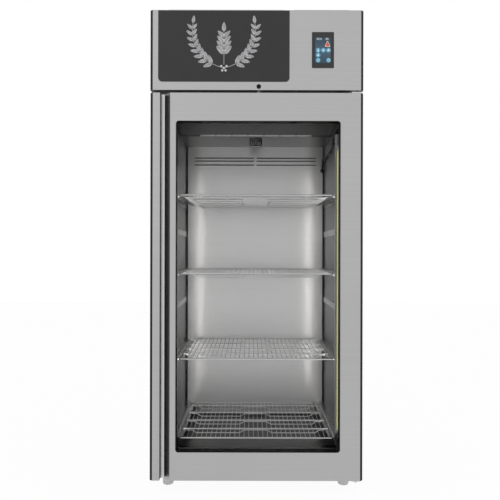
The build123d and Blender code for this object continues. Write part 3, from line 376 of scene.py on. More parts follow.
def pane_glass(name, dark, light, ior):
    """Thin clear pane: a faintly clouded mirror that grows with the slant of the view."""
    material, tree, shader, place = new_finish(name)
    cloud = effect(tree, MOTTLE, {"Position": place, "Scale": 1.5})["Patch"]
    tree.links.new(blend_colour(tree, cloud, dark, light), shader.inputs["Base Color"])
    shader.inputs["Roughness"].default_value = 0.02
    shader.inputs["Metallic"].default_value = 1.0
    slant = put(tree, "Fresnel", {}, {"IOR": ior})
    clear = put(tree, "BsdfTransparent", {}, {"Color": (PANE_TINT, PANE_TINT, PANE_TINT, 1)})
    mixed = put(tree, "MixShader", {}, {0: slant.outputs[0], 1: clear.outputs[0],
                                        2: shader.outputs[0]})
    tree.links.new(mixed.outputs[0], tree.nodes["Material Output"].inputs["Surface"])
    return material


LAMP_PITCH = 0.0165


def lamp_diffuser():
    """Milky strip over a row of small lamps, brighter over each."""
    material, tree, shader, place = new_finish("lamp_diffuser")
    height = put(tree, "SeparateXYZ", {}, {0: place}).outputs["Z"]
    turn = put(tree, "Math", {"operation": "MULTIPLY"}, {0: height, 1: 2 * math.pi / LAMP_PITCH})
    wave = put(tree, "Math", {"operation": "COSINE"}, {0: turn.outputs[0]})
    spot = put(tree, "MapRange", {}, {"Value": wave.outputs[0], "From Min": -1.0}).outputs[0]
    colour = blend_colour(tree, spot, tone(204, 204, 138), tone(214, 214, 150))
    tree.links.new(colour, shader.inputs["Base Color"])
    tree.links.new(colour, shader.inputs["Emission Color"])
    shader.inputs["Emission Strength"].default_value = 0.5
    shader.inputs["Roughness"].default_value = 0.5
    return material


# Heights on the touch glass where its blue begins, is full, fades and ends
BLUE_STARTS, BLUE_FULL, BLUE_FADES, BLUE_ENDS = 1.826, 1.868, 1.88, 1.932


def touch_glass():
    """Blue panel behind glass, lighter in the middle of its height."""
    material, tree, shader, place = new_finish("touch_glass")
    height = put(tree, "SeparateXYZ", {}, {0: place}).outputs["Z"]
    low = put(tree, "MapRange", {"interpolation_type": "SMOOTHSTEP"},
              {"Value": height, "From Min": BLUE_STARTS, "From Max": BLUE_FULL}).outputs[0]
    high = put(tree, "MapRange", {"interpolation_type": "SMOOTHSTEP"},
               {"Value": height, "From Min": BLUE_ENDS, "From Max": BLUE_FADES}).outputs[0]
    middle = put(tree, "Math", {"operation": "MULTIPLY"}, {0: low, 1: high}).outputs[0]
    cloud = effect(tree, MOTTLE, {"Position": place, "Scale": 60.0})["Patch"]
    share = put(tree, "Mix", {}, {"Factor": 0.15, 2: middle, 3: cloud}).outputs[0]
    colour = blend_colour(tree, share, tone(46, 66, 80), tone(62, 84, 100))
    tree.links.new(colour, shader.inputs["Base Color"])
    tree.links.new(colour, shader.inputs["Emission Color"])
    shader.inputs["Emission Strength"].default_value = 0.25
    shader.inputs["Roughness"].default_value = 0.12
    shader.inputs["Specular IOR Level"].default_value = 0.3
    return material


def lit_print(name, dark, light, glow):
    """Printed sign on the touch glass, lit from behind."""
    material, tree, shader, place = new_finish(name)
    cloud = effect(tree, MOTTLE, {"Position": place, "Scale": 160.0})["Patch"]
    colour = blend_colour(tree, spread(tree, cloud, 0.0, 1.0), dark, light)
    tree.links.new(colour, shader.inputs["Base Color"])
    tree.links.new(colour, shader.inputs["Emission Color"])
    shader.inputs["Emission Strength"].default_value = glow
    shader.inputs["Roughness"].default_value = 0.3
    shader.inputs["Specular IOR Level"].default_value = 0.3
    return material


def leaf_ink():
    """Pale print with engraved veins, by the piece's own leaf map."""
    material, tree, shader, place = new_finish("leaf_ink")
    leaf = put(tree, "UVMap", {"uv_map": "leaf"}, {}).outputs[0]
    along = put(tree, "SeparateXYZ", {}, {0: leaf})
    across = put(tree, "Math", {"operation": "ABSOLUTE"}, {0: along.outputs["Y"]}).outputs[0]
    slant = put(tree, "Math", {"operation": "MULTIPLY_ADD"},
                {0: across, 1: -5.0, 2: along.outputs["X"]}).outputs[0]
    turn = put(tree, "Math", {"operation": "SINE"}, {0: slant}).outputs[0]
    vein = put(tree, "MapRange", {"interpolation_type": "SMOOTHSTEP"},
               {"Value": turn, "From Min": 0.2, "From Max": 0.75}).outputs[0]
    rib = put(tree, "Math", {"operation": "LESS_THAN"}, {0: across, 1: 0.08}).outputs[0]
    cut = put(tree, "Math", {"operation": "MAXIMUM"}, {0: vein, 1: rib}).outputs[0]
    cloud = effect(tree, MOTTLE, {"Position": place, "Scale": 30.0})["Patch"]
    ink = blend_colour(tree, spread(tree, cloud, 0.0, 1.0), tone(176, 176, 178),
                       tone(224, 224, 226))
    tree.links.new(blend_colour(tree, cut, ink, tone(84, 84, 86)), shader.inputs["Base Color"])
    tree.links.new(raise_surface(tree, cut, 0.2, GRAIN_DEPTH / 2), shader.inputs["Normal"])
    shader.inputs["Roughness"].default_value = 0.5
    shader.inputs["Specular IOR Level"].default_value = 0.25
    return material


def grey(level):
    """Neutral colour as a screen shows it."""
    return tone(level, level, level)


# Painted shade on the folded side edges of door and fascia, standing in for their dark
# reflections, and in the grip's corner; a painted highlight on the grip's floor: (low, high,
# colour) in metres
SIDE_X, FRONT_Y, FOLD_Y = 0.46, -0.4, -0.3
DOOR_FOLD_X, FASCIA_FOLD_X = 0.4381, 0.4391
DOOR_TOP_Z, CABINET_TOP_Z = 1.705, 2.1
GRIP_FACE_Y, GRIP_FLOOR_Y, GRIP_REAR_Y, GRIP_TOP_Z = -0.3648, -0.3376, -0.336, 1.71
GRIP_EDGE_X, GRIP_CORNER_X, GRIP_INNER_X = -0.4085, -0.4061, -0.3921
PAINTED_SHADE_AND_HIGHLIGHT_ZONES = (
    ((-SIDE_X, FRONT_Y, 0.0), (-DOOR_FOLD_X, FOLD_Y, DOOR_TOP_Z), grey(42)),
    ((DOOR_FOLD_X, FRONT_Y, 0.0), (SIDE_X, FOLD_Y, DOOR_TOP_Z), grey(42)),
    ((-SIDE_X, FRONT_Y, DOOR_TOP_Z), (-FASCIA_FOLD_X, FOLD_Y, CABINET_TOP_Z), grey(42)),
    ((FASCIA_FOLD_X, FRONT_Y, DOOR_TOP_Z), (SIDE_X, FOLD_Y, CABINET_TOP_Z), grey(42)),
    # Painted shade along the grip's wall and into its corner, then a painted highlight on the
    # grip's floor
    ((GRIP_EDGE_X, GRIP_FACE_Y, 0.0), (GRIP_CORNER_X - 0.0001, GRIP_REAR_Y, GRIP_TOP_Z),
     grey(32)),
    ((GRIP_CORNER_X, GRIP_FLOOR_Y, 0.0), (GRIP_INNER_X, GRIP_REAR_Y, GRIP_TOP_Z), grey(206)),
)
FINISHES = {
    # The brushed steel carries the painted shade and painted highlight zones above
    "brushed_stainless": steel("brushed_stainless", grey(172), grey(183), 0.34, (1.6, 1.6, 640),
                               zones=PAINTED_SHADE_AND_HIGHLIGHT_ZONES),
    "body_stainless": steel("body_stainless", grey(168), grey(182), 0.36, (420, 1.6, 640)),
    "liner_stainless": steel("liner_stainless", grey(192), grey(204), 0.29, (2.0, 2.0, 420),
                             swing=0.01, bump=0.02, drawn=0.85),
    "galvanised_sheet": galvanised("galvanised_sheet", grey(156), grey(180)),
    "graphic_dark": moulded("graphic_dark", grey(38), grey(44), 0.34, 0.36, bump=0.03),
    "bezel_dark": moulded("bezel_dark", grey(42), grey(48), 0.38, 0.36),
    "touch_glass": touch_glass(),
    "lock_black": moulded("lock_black", grey(16), grey(24), 0.35, 0.12),
    "lock_zinc": moulded("lock_zinc", grey(150), grey(176), 0.4, metallic=1.0),
    "clear_glass": pane_glass("clear_glass", grey(232), grey(248), 1.12),
    "spacer_bar": steel("spacer_bar", grey(120), grey(140), 0.4, (200, 200, 200)),
    "window_black": moulded("window_black", grey(12), grey(17), 0.45, 0.08),
    "seal_grey": moulded("seal_grey", grey(64), grey(76), 0.62, 0.3),
    "hinge_steel": steel("hinge_steel", grey(196), grey(216), 0.3, (300, 2, 300)),
    "bush_plastic": moulded("bush_plastic", grey(28), grey(34), 0.5),
    "foot_steel": steel("foot_steel", grey(178), grey(192), 0.38, (3, 3, 500)),
    "shelf_wire": steel("shelf_wire", grey(212), grey(234), 0.29, (60, 60, 60), swing=0.01,
                        bump=0.02),
    "runner_steel": steel("runner_steel", grey(176), grey(190), 0.28, (300, 2, 500)),
    "lamp_profile": steel("lamp_profile", grey(172), grey(186), 0.3, (400, 400, 2)),
    "lamp_diffuser": lamp_diffuser(),
    "lead_black": moulded("lead_black", grey(6), grey(10), 0.7, 0.15),
    "fitting_grey": moulded("fitting_grey", grey(196), grey(212), 0.4),
    "fin_aluminium": steel("fin_aluminium", grey(170), grey(190), 0.35, (3, 3, 300)),
    "fan_black": moulded("fan_black", grey(20), grey(28), 0.45, 0.3),
    "motor_grey": moulded("motor_grey", grey(96), grey(112), 0.45, metallic=0.6),
    "compressor_black": moulded("compressor_black", grey(18), grey(26), 0.42, 0.4, 500.0, 0.2),
    "copper_pipe": steel("copper_pipe", tone(196, 120, 84), tone(222, 148, 108), 0.28,
                         (80, 80, 80)),
    "insulation_grey": moulded("insulation_grey", grey(70), grey(84), 0.85, 0.15, 260.0, 0.5),
    "electric_grey": moulded("electric_grey", grey(150), grey(162), 0.5),
    "gland_black": moulded("gland_black", grey(20), grey(28), 0.5, 0.3),
}

# Finish of each CAD piece by its slot in the record, then darker copies of the chamber's steel
# with painted shade
for part in frame["record"]["subparts"]:
    shown = nodes[part["node"]].data
    shown.materials.clear()
    shown.materials.append(FINISHES[part["material_slot"]])
# Painted shade: the chamber's floor one flat dark tone
CHAMBER_FLOOR_SHADE = ((-0.5, -0.5, 0.1), (0.5, 0.5, 0.1525), grey(100))
# Painted shade on the air tray's underside, darker still, and on its lip, a little darker and
# glossier
TRAY_UNDERSIDE_SHADE = ((-0.5, -0.009, 1.58), (0.5, 0.5, 1.5885), grey(70), 0.29)
TRAY_LIP_SHADE = ((-0.5, -0.0128, 1.5868), (0.5, -0.0095, 1.5998), grey(140), 0.3)
# Painted shade: a much darker copy of the chamber steel for the liner, the probe guard and its
# bar
chamber_shaded_sheet = steel("chamber_shaded_sheet", grey(90), grey(100), 0.3, (2.0, 2.0, 300), swing=0.015,
                      bump=0.03, zones=(CHAMBER_FLOOR_SHADE,))
# Painted shade: a darker copy of the chamber steel for the air tray
tray_shaded_sheet = steel("tray_shaded_sheet", grey(144), grey(152), 0.5, (2.0, 2.0, 300), bump=0.03,
                   zones=(TRAY_UNDERSIDE_SHADE, TRAY_LIP_SHADE))
for name, material in (("liner", chamber_shaded_sheet), ("air_tray", tray_shaded_sheet),
                       ("probe_guard", chamber_shaded_sheet),
                       ("lead_fittings", FINISHES["lead_black"])):
    nodes[name].data.materials[0] = material


# Making of pieces
def finished(name, bm, body, slot, material=None, smooth=False):
    """One named piece from a bmesh, riding on a body."""
    mesh = bpy.data.meshes.new(name)
    bm.to_mesh(mesh)
    bm.free()
    for face in mesh.polygons:
        face.use_smooth = smooth
    mesh.materials.append(material or FINISHES[slot])
    piece = bpy.data.objects.new(name, mesh)
    bpy.context.scene.collection.objects.link(piece)
    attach(piece, body)
    return piece


def front_peg(bm, x, p0, p1, z, radius, sides=24, crown=1.0, wide=1.0, tall=1.0, turn=0.0):
    """Disc or rod from p1 forward to p0, its front end smaller by the crown's share."""
    place = (Matrix.Translation(at(x, (p0 + p1) / 2, z)) @ Matrix.Rotation(turn, 4, "Y")
             @ Matrix.Diagonal((wide, 1, tall, 1)) @ Matrix.Rotation(math.pi / 2, 4, "X"))
    made = bmesh.ops.create_cone(bm, cap_ends=True, cap_tris=False, segments=sides,
                                 radius1=radius / 1000, radius2=radius * crown / 1000,
                                 depth=(p1 - p0) / 1000, matrix=place)
    return made["verts"]


def block(bm, x0, x1, p0, p1, z0, z1, turn=0.0):
    """Rectangular block between two corners, turned about its own middle in the front view."""
    place = (Matrix.Translation(at((x0 + x1) / 2, (p0 + p1) / 2, (z0 + z1) / 2))
             @ Matrix.Rotation(turn, 4, "Y")
             @ Matrix.Diagonal(((x1 - x0) / 1000, (p1 - p0) / 1000, (z1 - z0) / 1000, 1)))
    return bmesh.ops.create_cube(bm, size=1.0, matrix=place)["verts"]


def soften(bm, verts, width, segments=2):
    """Bevel all edges of one block just made."""
    edges = set()
    for vert in verts:
        edges.update(vert.link_edges)
    bmesh.ops.bevel(bm, geom=list(edges), offset=width / 1000, affect="EDGES",
                    segments=segments, profile=0.5, material=-1)


def add_wires(bm, runs, radius, rings=2):
    """Round wires through lists of points, added to a bmesh."""
    curve = bpy.data.curves.new("wire_runs", "CURVE")
    curve.dimensions = "3D"
    curve.bevel_depth = radius / 1000
    curve.bevel_resolution = rings
    curve.use_fill_caps = True
    for run in runs:
        spline = curve.splines.new("POLY")
        spline.points.add(len(run) - 1)
        for point, place in zip(spline.points, run):
            point.co = (*place, 1.0)
    holder = bpy.data.objects.new("wire_runs", curve)
    bpy.context.scene.collection.objects.link(holder)
    mesh = bpy.data.meshes.new_from_object(holder)
    bm.from_mesh(mesh)
    bpy.data.objects.remove(holder)
    bpy.data.curves.remove(curve)
    bpy.data.meshes.remove(mesh)


def bent(points, radius, steps=3):
    """The same run with each corner turned into a short arc."""
    run = [points[0]]
    for before, here, after in zip(points, points[1:], points[2:]):
        to_start = (before - here).normalized()
        to_end = (after - here).normalized()
        half = to_start.angle(to_end) / 2
        reach = radius / 1000 / math.tan(half)
        start, end = here + to_start * reach, here + to_end * reach
        for step in range(steps + 1):
            share = step / steps
            run.append(start * (1 - share) ** 2 + here * 2 * share * (1 - share)
                       + end * share ** 2)
    run.append(points[-1])
    return run


# Welded wire shelves
SHELF_LEVELS = (218.0, 561.2, 933.0, 1276.2)
SHELF_HALF = 330.0
SHELF_FRONT, SHELF_REAR = 80.0, 610.0
GRID_WIRES = 32
GRID_MARGIN = 9.15
GRID_RADIUS, EDGE_RADIUS, TRUSS_RADIUS = 1.5, 4.0, 2.5
WIRE_END = ((2.4, 0.6), (1.9, 3.6), (-0.6, 5.0))     # (outward, up) from the edge wire
TRUSS_P = (201.75, 323.5, 445.25, 567.0)
TRUSS_SHAPE = ((-317, -6.5), (-291, -6.5), (-272, -19), (-73, -19), (-54, -6.5),
               (54, -6.5), (73, -19), (272, -19), (291, -6.5), (317, -6.5))
TRUSS_BEND = 8.0
CROSS_WIRE_DROP = 0.5


def wire_shelf(number, z):
    """Round front-to-back wires with turned-down ends over trussed cross wires."""
    bm = bmesh.new()
    pitch = 2 * (SHELF_HALF - GRID_MARGIN) / (GRID_WIRES - 1)
    runs = []
    for place in range(GRID_WIRES):
        x = -SHELF_HALF + GRID_MARGIN + place * pitch
        front = [at(x, SHELF_FRONT - out, z + up) for out, up in WIRE_END]
        rear = [at(x, SHELF_REAR + out, z + up) for out, up in reversed(WIRE_END)]
        runs.append(front + rear)
    add_wires(bm, runs, GRID_RADIUS)
    edge_runs = [[at(-SHELF_HALF, p, z), at(SHELF_HALF, p, z)] for p in (SHELF_FRONT, SHELF_REAR)]
    truss_runs = []
    for p in TRUSS_P:
        edge_runs.append([at(side * SHELF_HALF, p, z - CROSS_WIRE_DROP) for side in (-1, 1)])
        truss_runs.append(bent([at(x, p, z + drop) for x, drop in TRUSS_SHAPE], TRUSS_BEND))
    add_wires(bm, edge_runs, EDGE_RADIUS, 4)
    add_wires(bm, truss_runs, TRUSS_RADIUS)
    piece = finished(f"welded_shelf_{number}", bm, f"shelf_{number}", "shelf_wire", smooth=True)
    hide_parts(f"shelf_{number}")


for number, z in enumerate(SHELF_LEVELS, start=1):
    wire_shelf(number, z)


# Leaf sprigs printed on the dark plate, in the manner of an old engraving
PLATE_X, PLATE_Z = -139.0, 1889.0
LEAF_DEPTHS = (-0.02, 0.24)
LEAF_BREADTH_SHARE = 0.42
LEAF_LEAN = 0.78
VEIN_PITCH = 1.1
STEM_P = 0.05
STEM_RADIUS = 1.1
STEM_FLATNESS = 0.08
BERRY_DEPTHS = (-0.1, 0.2)
BERRY_RADIUS = 5.6
BERRIES = ((-11, -78), (11, -78), (0, -86), (-7, -96), (7, -96))
# Each branch: side, start, heading, curl, reach, count of leaf pairs and leaf length
BRANCHES = ((1, (4, -84), 0.1, 1.6, 252, 10, 38), (-1, (4, -84), 0.1, 1.6, 252, 10, 38),
            (1, (0, -72), math.pi / 2, 0.0, 140, 6, 47))
LEAF_INK = leaf_ink()


def add_leaf(bm, x, z, length, breadth, turn, leaf_map):
    """Pointed leaf from its foot outward, with its own map for the veins."""
    before = set(bm.faces)
    verts = front_peg(bm, 0, *LEAF_DEPTHS, 0, 1.0, sides=22)
    for vert in verts:
        vert.co -= at(0, 0, 0)
        share = vert.co.x * 1000
        taper = math.sqrt(max(0.0, 1 - share * share)) * (1 - 0.38 * share)
        side = math.copysign(1, vert.co.z) if abs(vert.co.z) > 1e-7 else 0.0
        vert.co.z = side * taper * breadth / 2000
        vert.co.x = (share + 1) * length / 2000
    for face in bm.faces:
        if face not in before:
            for loop in face.loops:
                loop[leaf_map].uv = (loop.vert.co.x * 1000 / VEIN_PITCH,
                                     loop.vert.co.z * 2000 / breadth)
    place = Matrix.Translation(at(x, 0, z)) @ Matrix.Rotation(-turn, 4, "Y")
    bmesh.ops.transform(bm, matrix=place, verts=verts)


def sprig_path(start, heading, curl, reach, count):
    """Points with headings along a stem that curls evenly."""
    x, z = start
    places = [(x, z, heading)]
    for step in range(count):
        heading += curl / count
        x += reach / count * math.cos(heading)
        z += reach / count * math.sin(heading)
        places.append((x, z, heading))
    return places


def print_sprigs():
    """Two long leafy branches bowed round an upright one, with berries at the crossing."""
    leaves = bmesh.new()
    leaf_map = leaves.loops.layers.uv.new("leaf")
    lines = []
    for side, start, heading, curl, reach, count, leaf_length in BRANCHES:
        places = [(PLATE_X + side * px, PLATE_Z + pz, angle if side > 0 else math.pi - angle)
                  for px, pz, angle in sprig_path(start, heading, curl, reach, count)]
        lines.append([at(px, STEM_P, pz) for px, pz, angle in places])
        for step, (px, pz, angle) in enumerate(places[2:-1], start=2):
            size = leaf_length * (1.1 - 0.36 * step / count)
            for lean in (LEAF_LEAN, -LEAF_LEAN):
                add_leaf(leaves, px, pz, size, size * LEAF_BREADTH_SHARE, angle + lean, leaf_map)
        px, pz, angle = places[-1]
        add_leaf(leaves, px, pz, leaf_length * 0.85, leaf_length * 0.36, angle, leaf_map)
    finished("plate_sprigs", leaves, "cabinet", "graphic_dark", LEAF_INK)
    stems = bmesh.new()
    add_wires(stems, lines, STEM_RADIUS, 1)
    bmesh.ops.scale(stems, vec=(1, STEM_FLATNESS, 1),
                    space=Matrix.Translation(-at(0, STEM_P, 0)), verts=stems.verts)
    for x, z in BERRIES:
        front_peg(stems, PLATE_X + x, *BERRY_DEPTHS, PLATE_Z + z, BERRY_RADIUS, sides=20,
                  crown=0.8)
    finished("sprig_stems", stems, "cabinet", "graphic_dark",
             moulded("stem_ink", grey(186), grey(214), 0.5, 0.25, 600.0, 0.05))


print_sprigs()


# Signs on the touch glass
BUTTON_BLUE = lit_print("button_blue", tone(70, 138, 168), tone(98, 164, 194), 0.2)
SIGN_WHITE = lit_print("sign_white", grey(206), grey(232), 0.25)
SIGN_RED = lit_print("sign_red", tone(196, 70, 72), tone(214, 96, 92), 0.15)
SIGN_CREAM = lit_print("sign_cream", tone(214, 204, 176), tone(228, 220, 196), 0.15)
BUTTONS = ((257.6, 1879.0), (279.5, 1879.0), (301.4, 1879.0), (257.6, 1858.8),
           (257.6, 1837.0), (301.4, 1837.0))
BUTTON_DEPTHS = (0.16, 0.34)
BUTTON_RADIUS = 9.9
SIGN_DEPTHS = (0.08, 0.2)
FIGURE_DEPTHS = (0.16, 0.36)
FIGURE_Z = 1922.6
FIGURES = ((252.0, "0"), (258.6, "2"), (267.0, "5"), (289.5, "8"), (296.1, "0"))
POINT_X, POINT_Z = 264.9, 1923.3


def touch_buttons():
    """Six round signs, raised a hair from the glass."""
    bm = bmesh.new()
    for x, z in BUTTONS:
        front_peg(bm, x, *BUTTON_DEPTHS, z, BUTTON_RADIUS, sides=40, crown=0.97)
    finished("touch_buttons", bm, "cabinet", "touch_glass", BUTTON_BLUE)


def dash_ring(bm, x, z, radius, angles, half_wide, half_tall):
    """Short bars round a circle, each turned with it."""
    for angle in angles:
        cx, cz = x + radius * math.cos(angle), z + radius * math.sin(angle)
        block(bm, cx - half_wide, cx + half_wide, *SIGN_DEPTHS, cz - half_tall, cz + half_tall,
              -angle)


def button_signs():
    """Plain picture signs: warmth, light, air, water, time and power."""
    bm = bmesh.new()
    (x, z), (lx, lz), (fx, fz), (wx, wz), (tx, tz), (px, pz) = BUTTONS
    front_peg(bm, x, *SIGN_DEPTHS, z - 3.2, 2.9, sides=20)
    block(bm, x - 1.3, x + 1.3, *SIGN_DEPTHS, z - 2, z + 6)
    front_peg(bm, lx, *SIGN_DEPTHS, lz, 2.8, sides=20)
    dash_ring(bm, lx, lz, 5.3, [ray * math.pi / 4 for ray in range(8)], 1.3, 0.45)
    for blade in range(3):
        angle = math.pi / 2 + blade * 2 * math.pi / 3
        front_peg(bm, fx + 3.3 * math.cos(angle), *SIGN_DEPTHS, fz + 3.3 * math.sin(angle), 2.9,
                  sides=20, wide=1.0, tall=0.6, turn=-angle)
    front_peg(bm, wx, *SIGN_DEPTHS, wz - 1.6, 3.7, sides=24)
    front_peg(bm, wx, *SIGN_DEPTHS, wz + 2.2, 4.1, sides=3, tall=1.1, wide=0.8)
    dash_ring(bm, tx, tz, 5.0, [step * 2 * math.pi / 20 for step in range(20)], 0.5, 0.85)
    block(bm, tx - 0.45, tx + 0.45, *SIGN_DEPTHS, tz - 0.4, tz + 3.6)
    block(bm, tx - 0.4, tx + 2.8, *SIGN_DEPTHS, tz - 0.45, tz + 0.45)
    dash_ring(bm, px, pz, 4.8, [math.radians(125 + step * 290 / 16) for step in range(17)],
              0.6, 0.95)
    block(bm, px - 0.65, px + 0.65, *SIGN_DEPTHS, pz + 1.2, pz + 6.4)
    finished("button_signs", bm, "cabinet", "touch_glass", SIGN_WHITE)


# Bars of each figure, lettered clockwise from the top with the middle one last
SEGMENTS = {"0": "abcdef", "2": "abged", "5": "afgcd", "8": "abcdefg"}


def panel_numbers():
    """Plain seven-bar figures along the glass's top: a temperature and a moisture."""
    bm = bmesh.new()
    width, height, bar = 4.6, 8.0, 1.0

    def figure(x, z, sign):
        bars = {"a": (x, x + width, z + height - bar, z + height),
                "d": (x, x + width, z, z + bar),
                "g": (x, x + width, z + (height - bar) / 2, z + (height + bar) / 2),
                "b": (x + width - bar, x + width, z + height / 2, z + height),
                "c": (x + width - bar, x + width, z, z + height / 2),
                "f": (x, x + bar, z + height / 2, z + height),
                "e": (x, x + bar, z, z + height / 2)}
        for name in SEGMENTS[sign]:
            x0, x1, z0, z1 = bars[name]
            block(bm, x0, x1, *FIGURE_DEPTHS, z0, z1)

    for x, sign in FIGURES:
        figure(x, FIGURE_Z, sign)
    front_peg(bm, POINT_X, *FIGURE_DEPTHS, POINT_Z, 0.75, sides=12)
    finished("panel_numbers", bm, "cabinet", "touch_glass", SIGN_WHITE)


CORNERED_X, CORNERED_Z = 297.0, 1902.5
CORNERED_REACH, CORNERED_ROUND = 17.5, 5.0
CORNERED_TALL, CORNERED_WIDE = 1.02, 0.82


def cornered_sign():
    """Rounded three-cornered sign in red with a pale rim."""
    for name, material, grow, front in (("sign_rim", SIGN_CREAM, 0.0, 0.2),
                                        ("sign_fill", SIGN_RED, 2.2, 0.1)):
        bm = bmesh.new()
        verts = front_peg(bm, CORNERED_X, front, 0.34, CORNERED_Z, CORNERED_REACH - grow * 1.7,
                          sides=3)
        middle = at(CORNERED_X, 0, CORNERED_Z)
        for vert in verts:
            vert.co.z = middle.z + (vert.co.z - middle.z) * CORNERED_TALL
            vert.co.x = middle.x + (vert.co.x - middle.x) * CORNERED_WIDE
        edges = [edge for edge in bm.edges
                 if abs(edge.verts[0].co.y - edge.verts[1].co.y) > 1e-5]
        bmesh.ops.bevel(bm, geom=edges, offset=(CORNERED_ROUND - grow) / 1000, affect="EDGES",
                        segments=5, profile=0.5, material=-1)
        finished(name, bm, "cabinet", "touch_glass", material)


touch_buttons()
button_signs()
panel_numbers()
cornered_sign()


# Rear louvre hoods and the casings' screws
LOUVRE_BANKS = (-330.0, 0.0, 330.0)
LOUVRE_ROWS = 11
LOUVRE_PITCH = 18.0
LOUVRE_HALF = 77.0
LOUVRE_FOOT_P, LOUVRE_FACE_P, LOUVRE_TOP_P = 717.9, 724.5, 718.6
LOUVRE_LOW, LOUVRE_HIGH = 1.0, 6.5
LOUVRE_MIDDLE_Z = (1725.0 + 2046.0) / 2
SCREW_RADIUS = 4.5
REAR_SCREW_P = 719.0
REAR_SCREW_X, REAR_SCREW_Z = (-434, -217, 217, 434), (1740, 2030)
SIDE_SCREW_X, SIDE_SCREW_Z = 448.6, 1712
SIDE_SCREW_P = (90, 300, 500, 700)


def louvre_hoods():
    """Pressed hood over each slot of the rear panel."""
    bm = bmesh.new()
    for bank_x in LOUVRE_BANKS:
        for row in range(LOUVRE_ROWS):
            z = LOUVRE_MIDDLE_Z + (row - LOUVRE_ROWS // 2) * LOUVRE_PITCH
            verts = block(bm, bank_x - LOUVRE_HALF, bank_x + LOUVRE_HALF, LOUVRE_FOOT_P,
                          LOUVRE_FACE_P, z - LOUVRE_LOW, z + LOUVRE_HIGH)
            for vert in verts:
                if vert.co.y > at(0, LOUVRE_TOP_P, 0).y and vert.co.z > z / 1000:
                    vert.co.y = at(0, LOUVRE_TOP_P, 0).y
            soften(bm, verts, 0.7, 1)
    finished("louvre_hoods", bm, "cabinet", "galvanised_sheet")


def add_screw(bm, x, p, z, radius, facing):
    """Pan head with a raised cross, on a face that looks back or to one side."""
    turn = {"back": Matrix.Rotation(-math.pi / 2, 4, "X"),
            "left": Matrix.Rotation(-math.pi / 2, 4, "Y"),
            "right": Matrix.Rotation(math.pi / 2, 4, "Y")}[facing]
    seat = Matrix.Translation(at(x, p, z)) @ turn
    bmesh.ops.create_cone(bm, cap_ends=True, segments=20, radius1=radius / 1000,
                          radius2=radius * 0.72 / 1000, depth=0.0022, matrix=seat)
    for across in (Matrix.Diagonal((0.0009, radius * 0.0011, 0.0003, 1)),
                   Matrix.Diagonal((radius * 0.0011, 0.0009, 0.0003, 1))):
        lift = Matrix.Translation((0, 0, 0.0011))
        bmesh.ops.create_cube(bm, size=1.0, matrix=seat @ lift @ across)


def casing_screws():
    """Screws in two rows on the rear panel and along each casing's lower edge."""
    bm = bmesh.new()
    for x in REAR_SCREW_X:
        for z in REAR_SCREW_Z:
            add_screw(bm, x, REAR_SCREW_P, z, SCREW_RADIUS, "back")
    for side, facing in ((-1, "left"), (1, "right")):
        for p in SIDE_SCREW_P:
            add_screw(bm, side * SIDE_SCREW_X, p, SIDE_SCREW_Z, SCREW_RADIUS, facing)
    finished("casing_screws", bm, "cabinet", "lock_zinc")


louvre_hoods()
casing_screws()


# Air tray: pressed hoods over the slots in its lip, and its side flanges
TRAY_HALF = 360.0
HOOD_COUNT = 7
HOOD_GAP = 2.6
HOOD_END_MARGIN = 87.0
HOOD_FRONT_P, HOOD_REAR_P = 350.6, 354.8
HOOD_LOW_Z, HOOD_HIGH_Z = 1590.0, 1597.8
HOOD_ROUND = 0.0032
FLANGE_X = 360.2
FLANGE_WIDTH, FLANGE_SHEET = 0.0076, 0.0012
TRAY_PROFILE = ((196.0, 1647.5), (354.0, 1599.1), (354.0, 1589.0), (666.0, 1589.0))


def tray_hoods():
    """Rounded polished hood over each slot."""
    bm = bmesh.new()
    pitch = 2 * (TRAY_HALF - HOOD_END_MARGIN) / HOOD_COUNT
    reach = (pitch - HOOD_GAP) / 2
    rim = at(0, 354.0, 0).y
    for place in range(HOOD_COUNT):
        x = (place - HOOD_COUNT // 2) * pitch
        verts = block(bm, x - reach, x + reach, HOOD_FRONT_P, HOOD_REAR_P, HOOD_LOW_Z,
                      HOOD_HIGH_Z)
        edges = {edge for vert in verts for edge in vert.link_edges
                 if min(end.co.y for end in edge.verts) < rim}
        bmesh.ops.bevel(bm, geom=list(edges), offset=HOOD_ROUND, affect="EDGES", segments=4,
                        profile=0.5, material=-1)
    finished("tray_hoods", bm, "cabinet", "liner_stainless",
             steel("hood_polish", grey(222), grey(236), 0.29, (60, 60, 60), swing=0.01,
                   bump=0.02),
             smooth=True)


tray_hoods()


def tray_side_flanges():
    """Folded strips that close the tray's two sides against the chamber's walls."""
    bm = bmesh.new()
    for side in (-1, 1):
        verts = [bm.verts.new(at(side * FLANGE_X, p, z)) for p, z in TRAY_PROFILE]
        edges = [bm.edges.new(pair) for pair in zip(verts, verts[1:])]
        made = bmesh.ops.extrude_edge_only(bm, edges=edges)["geom"]
        bmesh.ops.translate(bm, vec=(side * FLANGE_WIDTH, 0, 0),
                            verts=[item for item in made if isinstance(item, bmesh.types.BMVert)])
    bmesh.ops.recalc_face_normals(bm, faces=bm.faces)
    # Painted shade: the flanges in a darker copy of the chamber steel
    piece = finished("tray_side_flanges", bm, "cabinet", "liner_stainless",
                     steel("flange_shaded_sheet", grey(118), grey(128), 0.4, (2.0, 2.0, 300)))
    wall = piece.modifiers.new("sheet", "SOLIDIFY")
    wall.thickness = FLANGE_SHEET
    wall.offset = 0.0


tray_side_flanges()


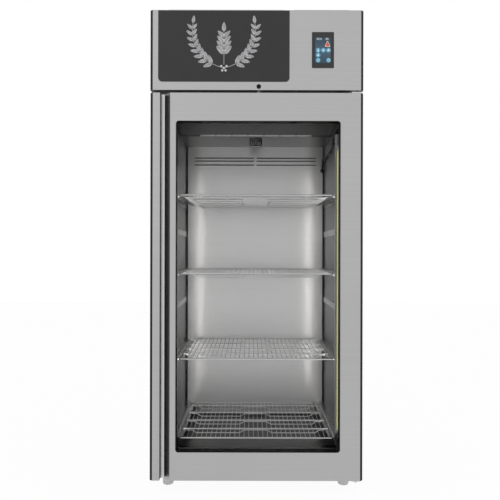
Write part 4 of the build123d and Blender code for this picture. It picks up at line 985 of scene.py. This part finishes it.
# Lamp strips' pale end caps, and the clips of the lamp's lead
CAP_INSET, CAP_PROUD = 10.0, 1.0
CAP_FRONT_P, CAP_REAR_P = 73.6, 76.2
CAP_OVERLAP = 3.0
CAP_LOW_RUN, CAP_HIGH_RUN = 6.0, 18.0
CHAMBER_WALL_X = 368.0
CLIP_REACH, CLIP_HALF_LONG, CLIP_HALF_TALL = 4.6, 3.0, 4.4
CLIP_PLACES = ((359.6, 162, 1566), (361, 252, 1536), (360.5, 352, 1515), (361, 490, 1510))


def node_corners(name):
    """Lowest and highest corner of a CAD piece, in millimetres in the making frame."""
    low, high = (Vector(corner) * 1000 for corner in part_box(name))
    shift = Vector((0, DEPTH / 2, 0))
    return low + shift, high + shift


def strip_caps():
    """Moulded cap over each end of each strip."""
    bm = bmesh.new()
    low, high = node_corners("lamp_strips")
    for side in (-1, 1):
        x0, x1 = sorted((side * (high.x - CAP_INSET), side * (high.x + CAP_PROUD)))
        for z0, z1 in ((low.z - CAP_LOW_RUN, low.z + CAP_OVERLAP),
                       (high.z - CAP_OVERLAP, high.z + CAP_HIGH_RUN)):
            verts = block(bm, x0, x1, CAP_FRONT_P, CAP_REAR_P, z0, z1)
            soften(bm, verts, 0.8)
    finished("strip_caps", bm, "cabinet", "fitting_grey")


strip_caps()


def lead_clips():
    """Small moulded clips round the lead, with their feet on the side wall."""
    bm = bmesh.new()
    for x, p, z in CLIP_PLACES:
        verts = block(bm, x - CLIP_REACH, CHAMBER_WALL_X, p - CLIP_HALF_LONG, p + CLIP_HALF_LONG,
                      z - CLIP_HALF_TALL, z + CLIP_HALF_TALL)
        soften(bm, verts, 1.2)
    finished("lead_clips", bm, "cabinet", "lead_black")


lead_clips()


# Cross bars that part the probe guard's slots into two rows
BAR_MARGIN = 2.8
BAR_SETBACK, BAR_THICK = 0.3, 1.9
BAR_LOW_DROP, BAR_HIGH_DROP = 17.0, 13.6


def guard_bar():
    """Flat bar across the slots, just inside the guard's front and rear faces."""
    bm = bmesh.new()
    low, high = node_corners("probe_guard")
    for near in (low.y + BAR_SETBACK, high.y - BAR_SETBACK - BAR_THICK):
        block(bm, low.x + BAR_MARGIN, high.x - BAR_MARGIN, near, near + BAR_THICK,
              high.z - BAR_LOW_DROP, high.z - BAR_HIGH_DROP)
    # The bar takes the chamber's painted shade
    finished("guard_bar", bm, "cabinet", "liner_stainless", chamber_shaded_sheet)


guard_bar()
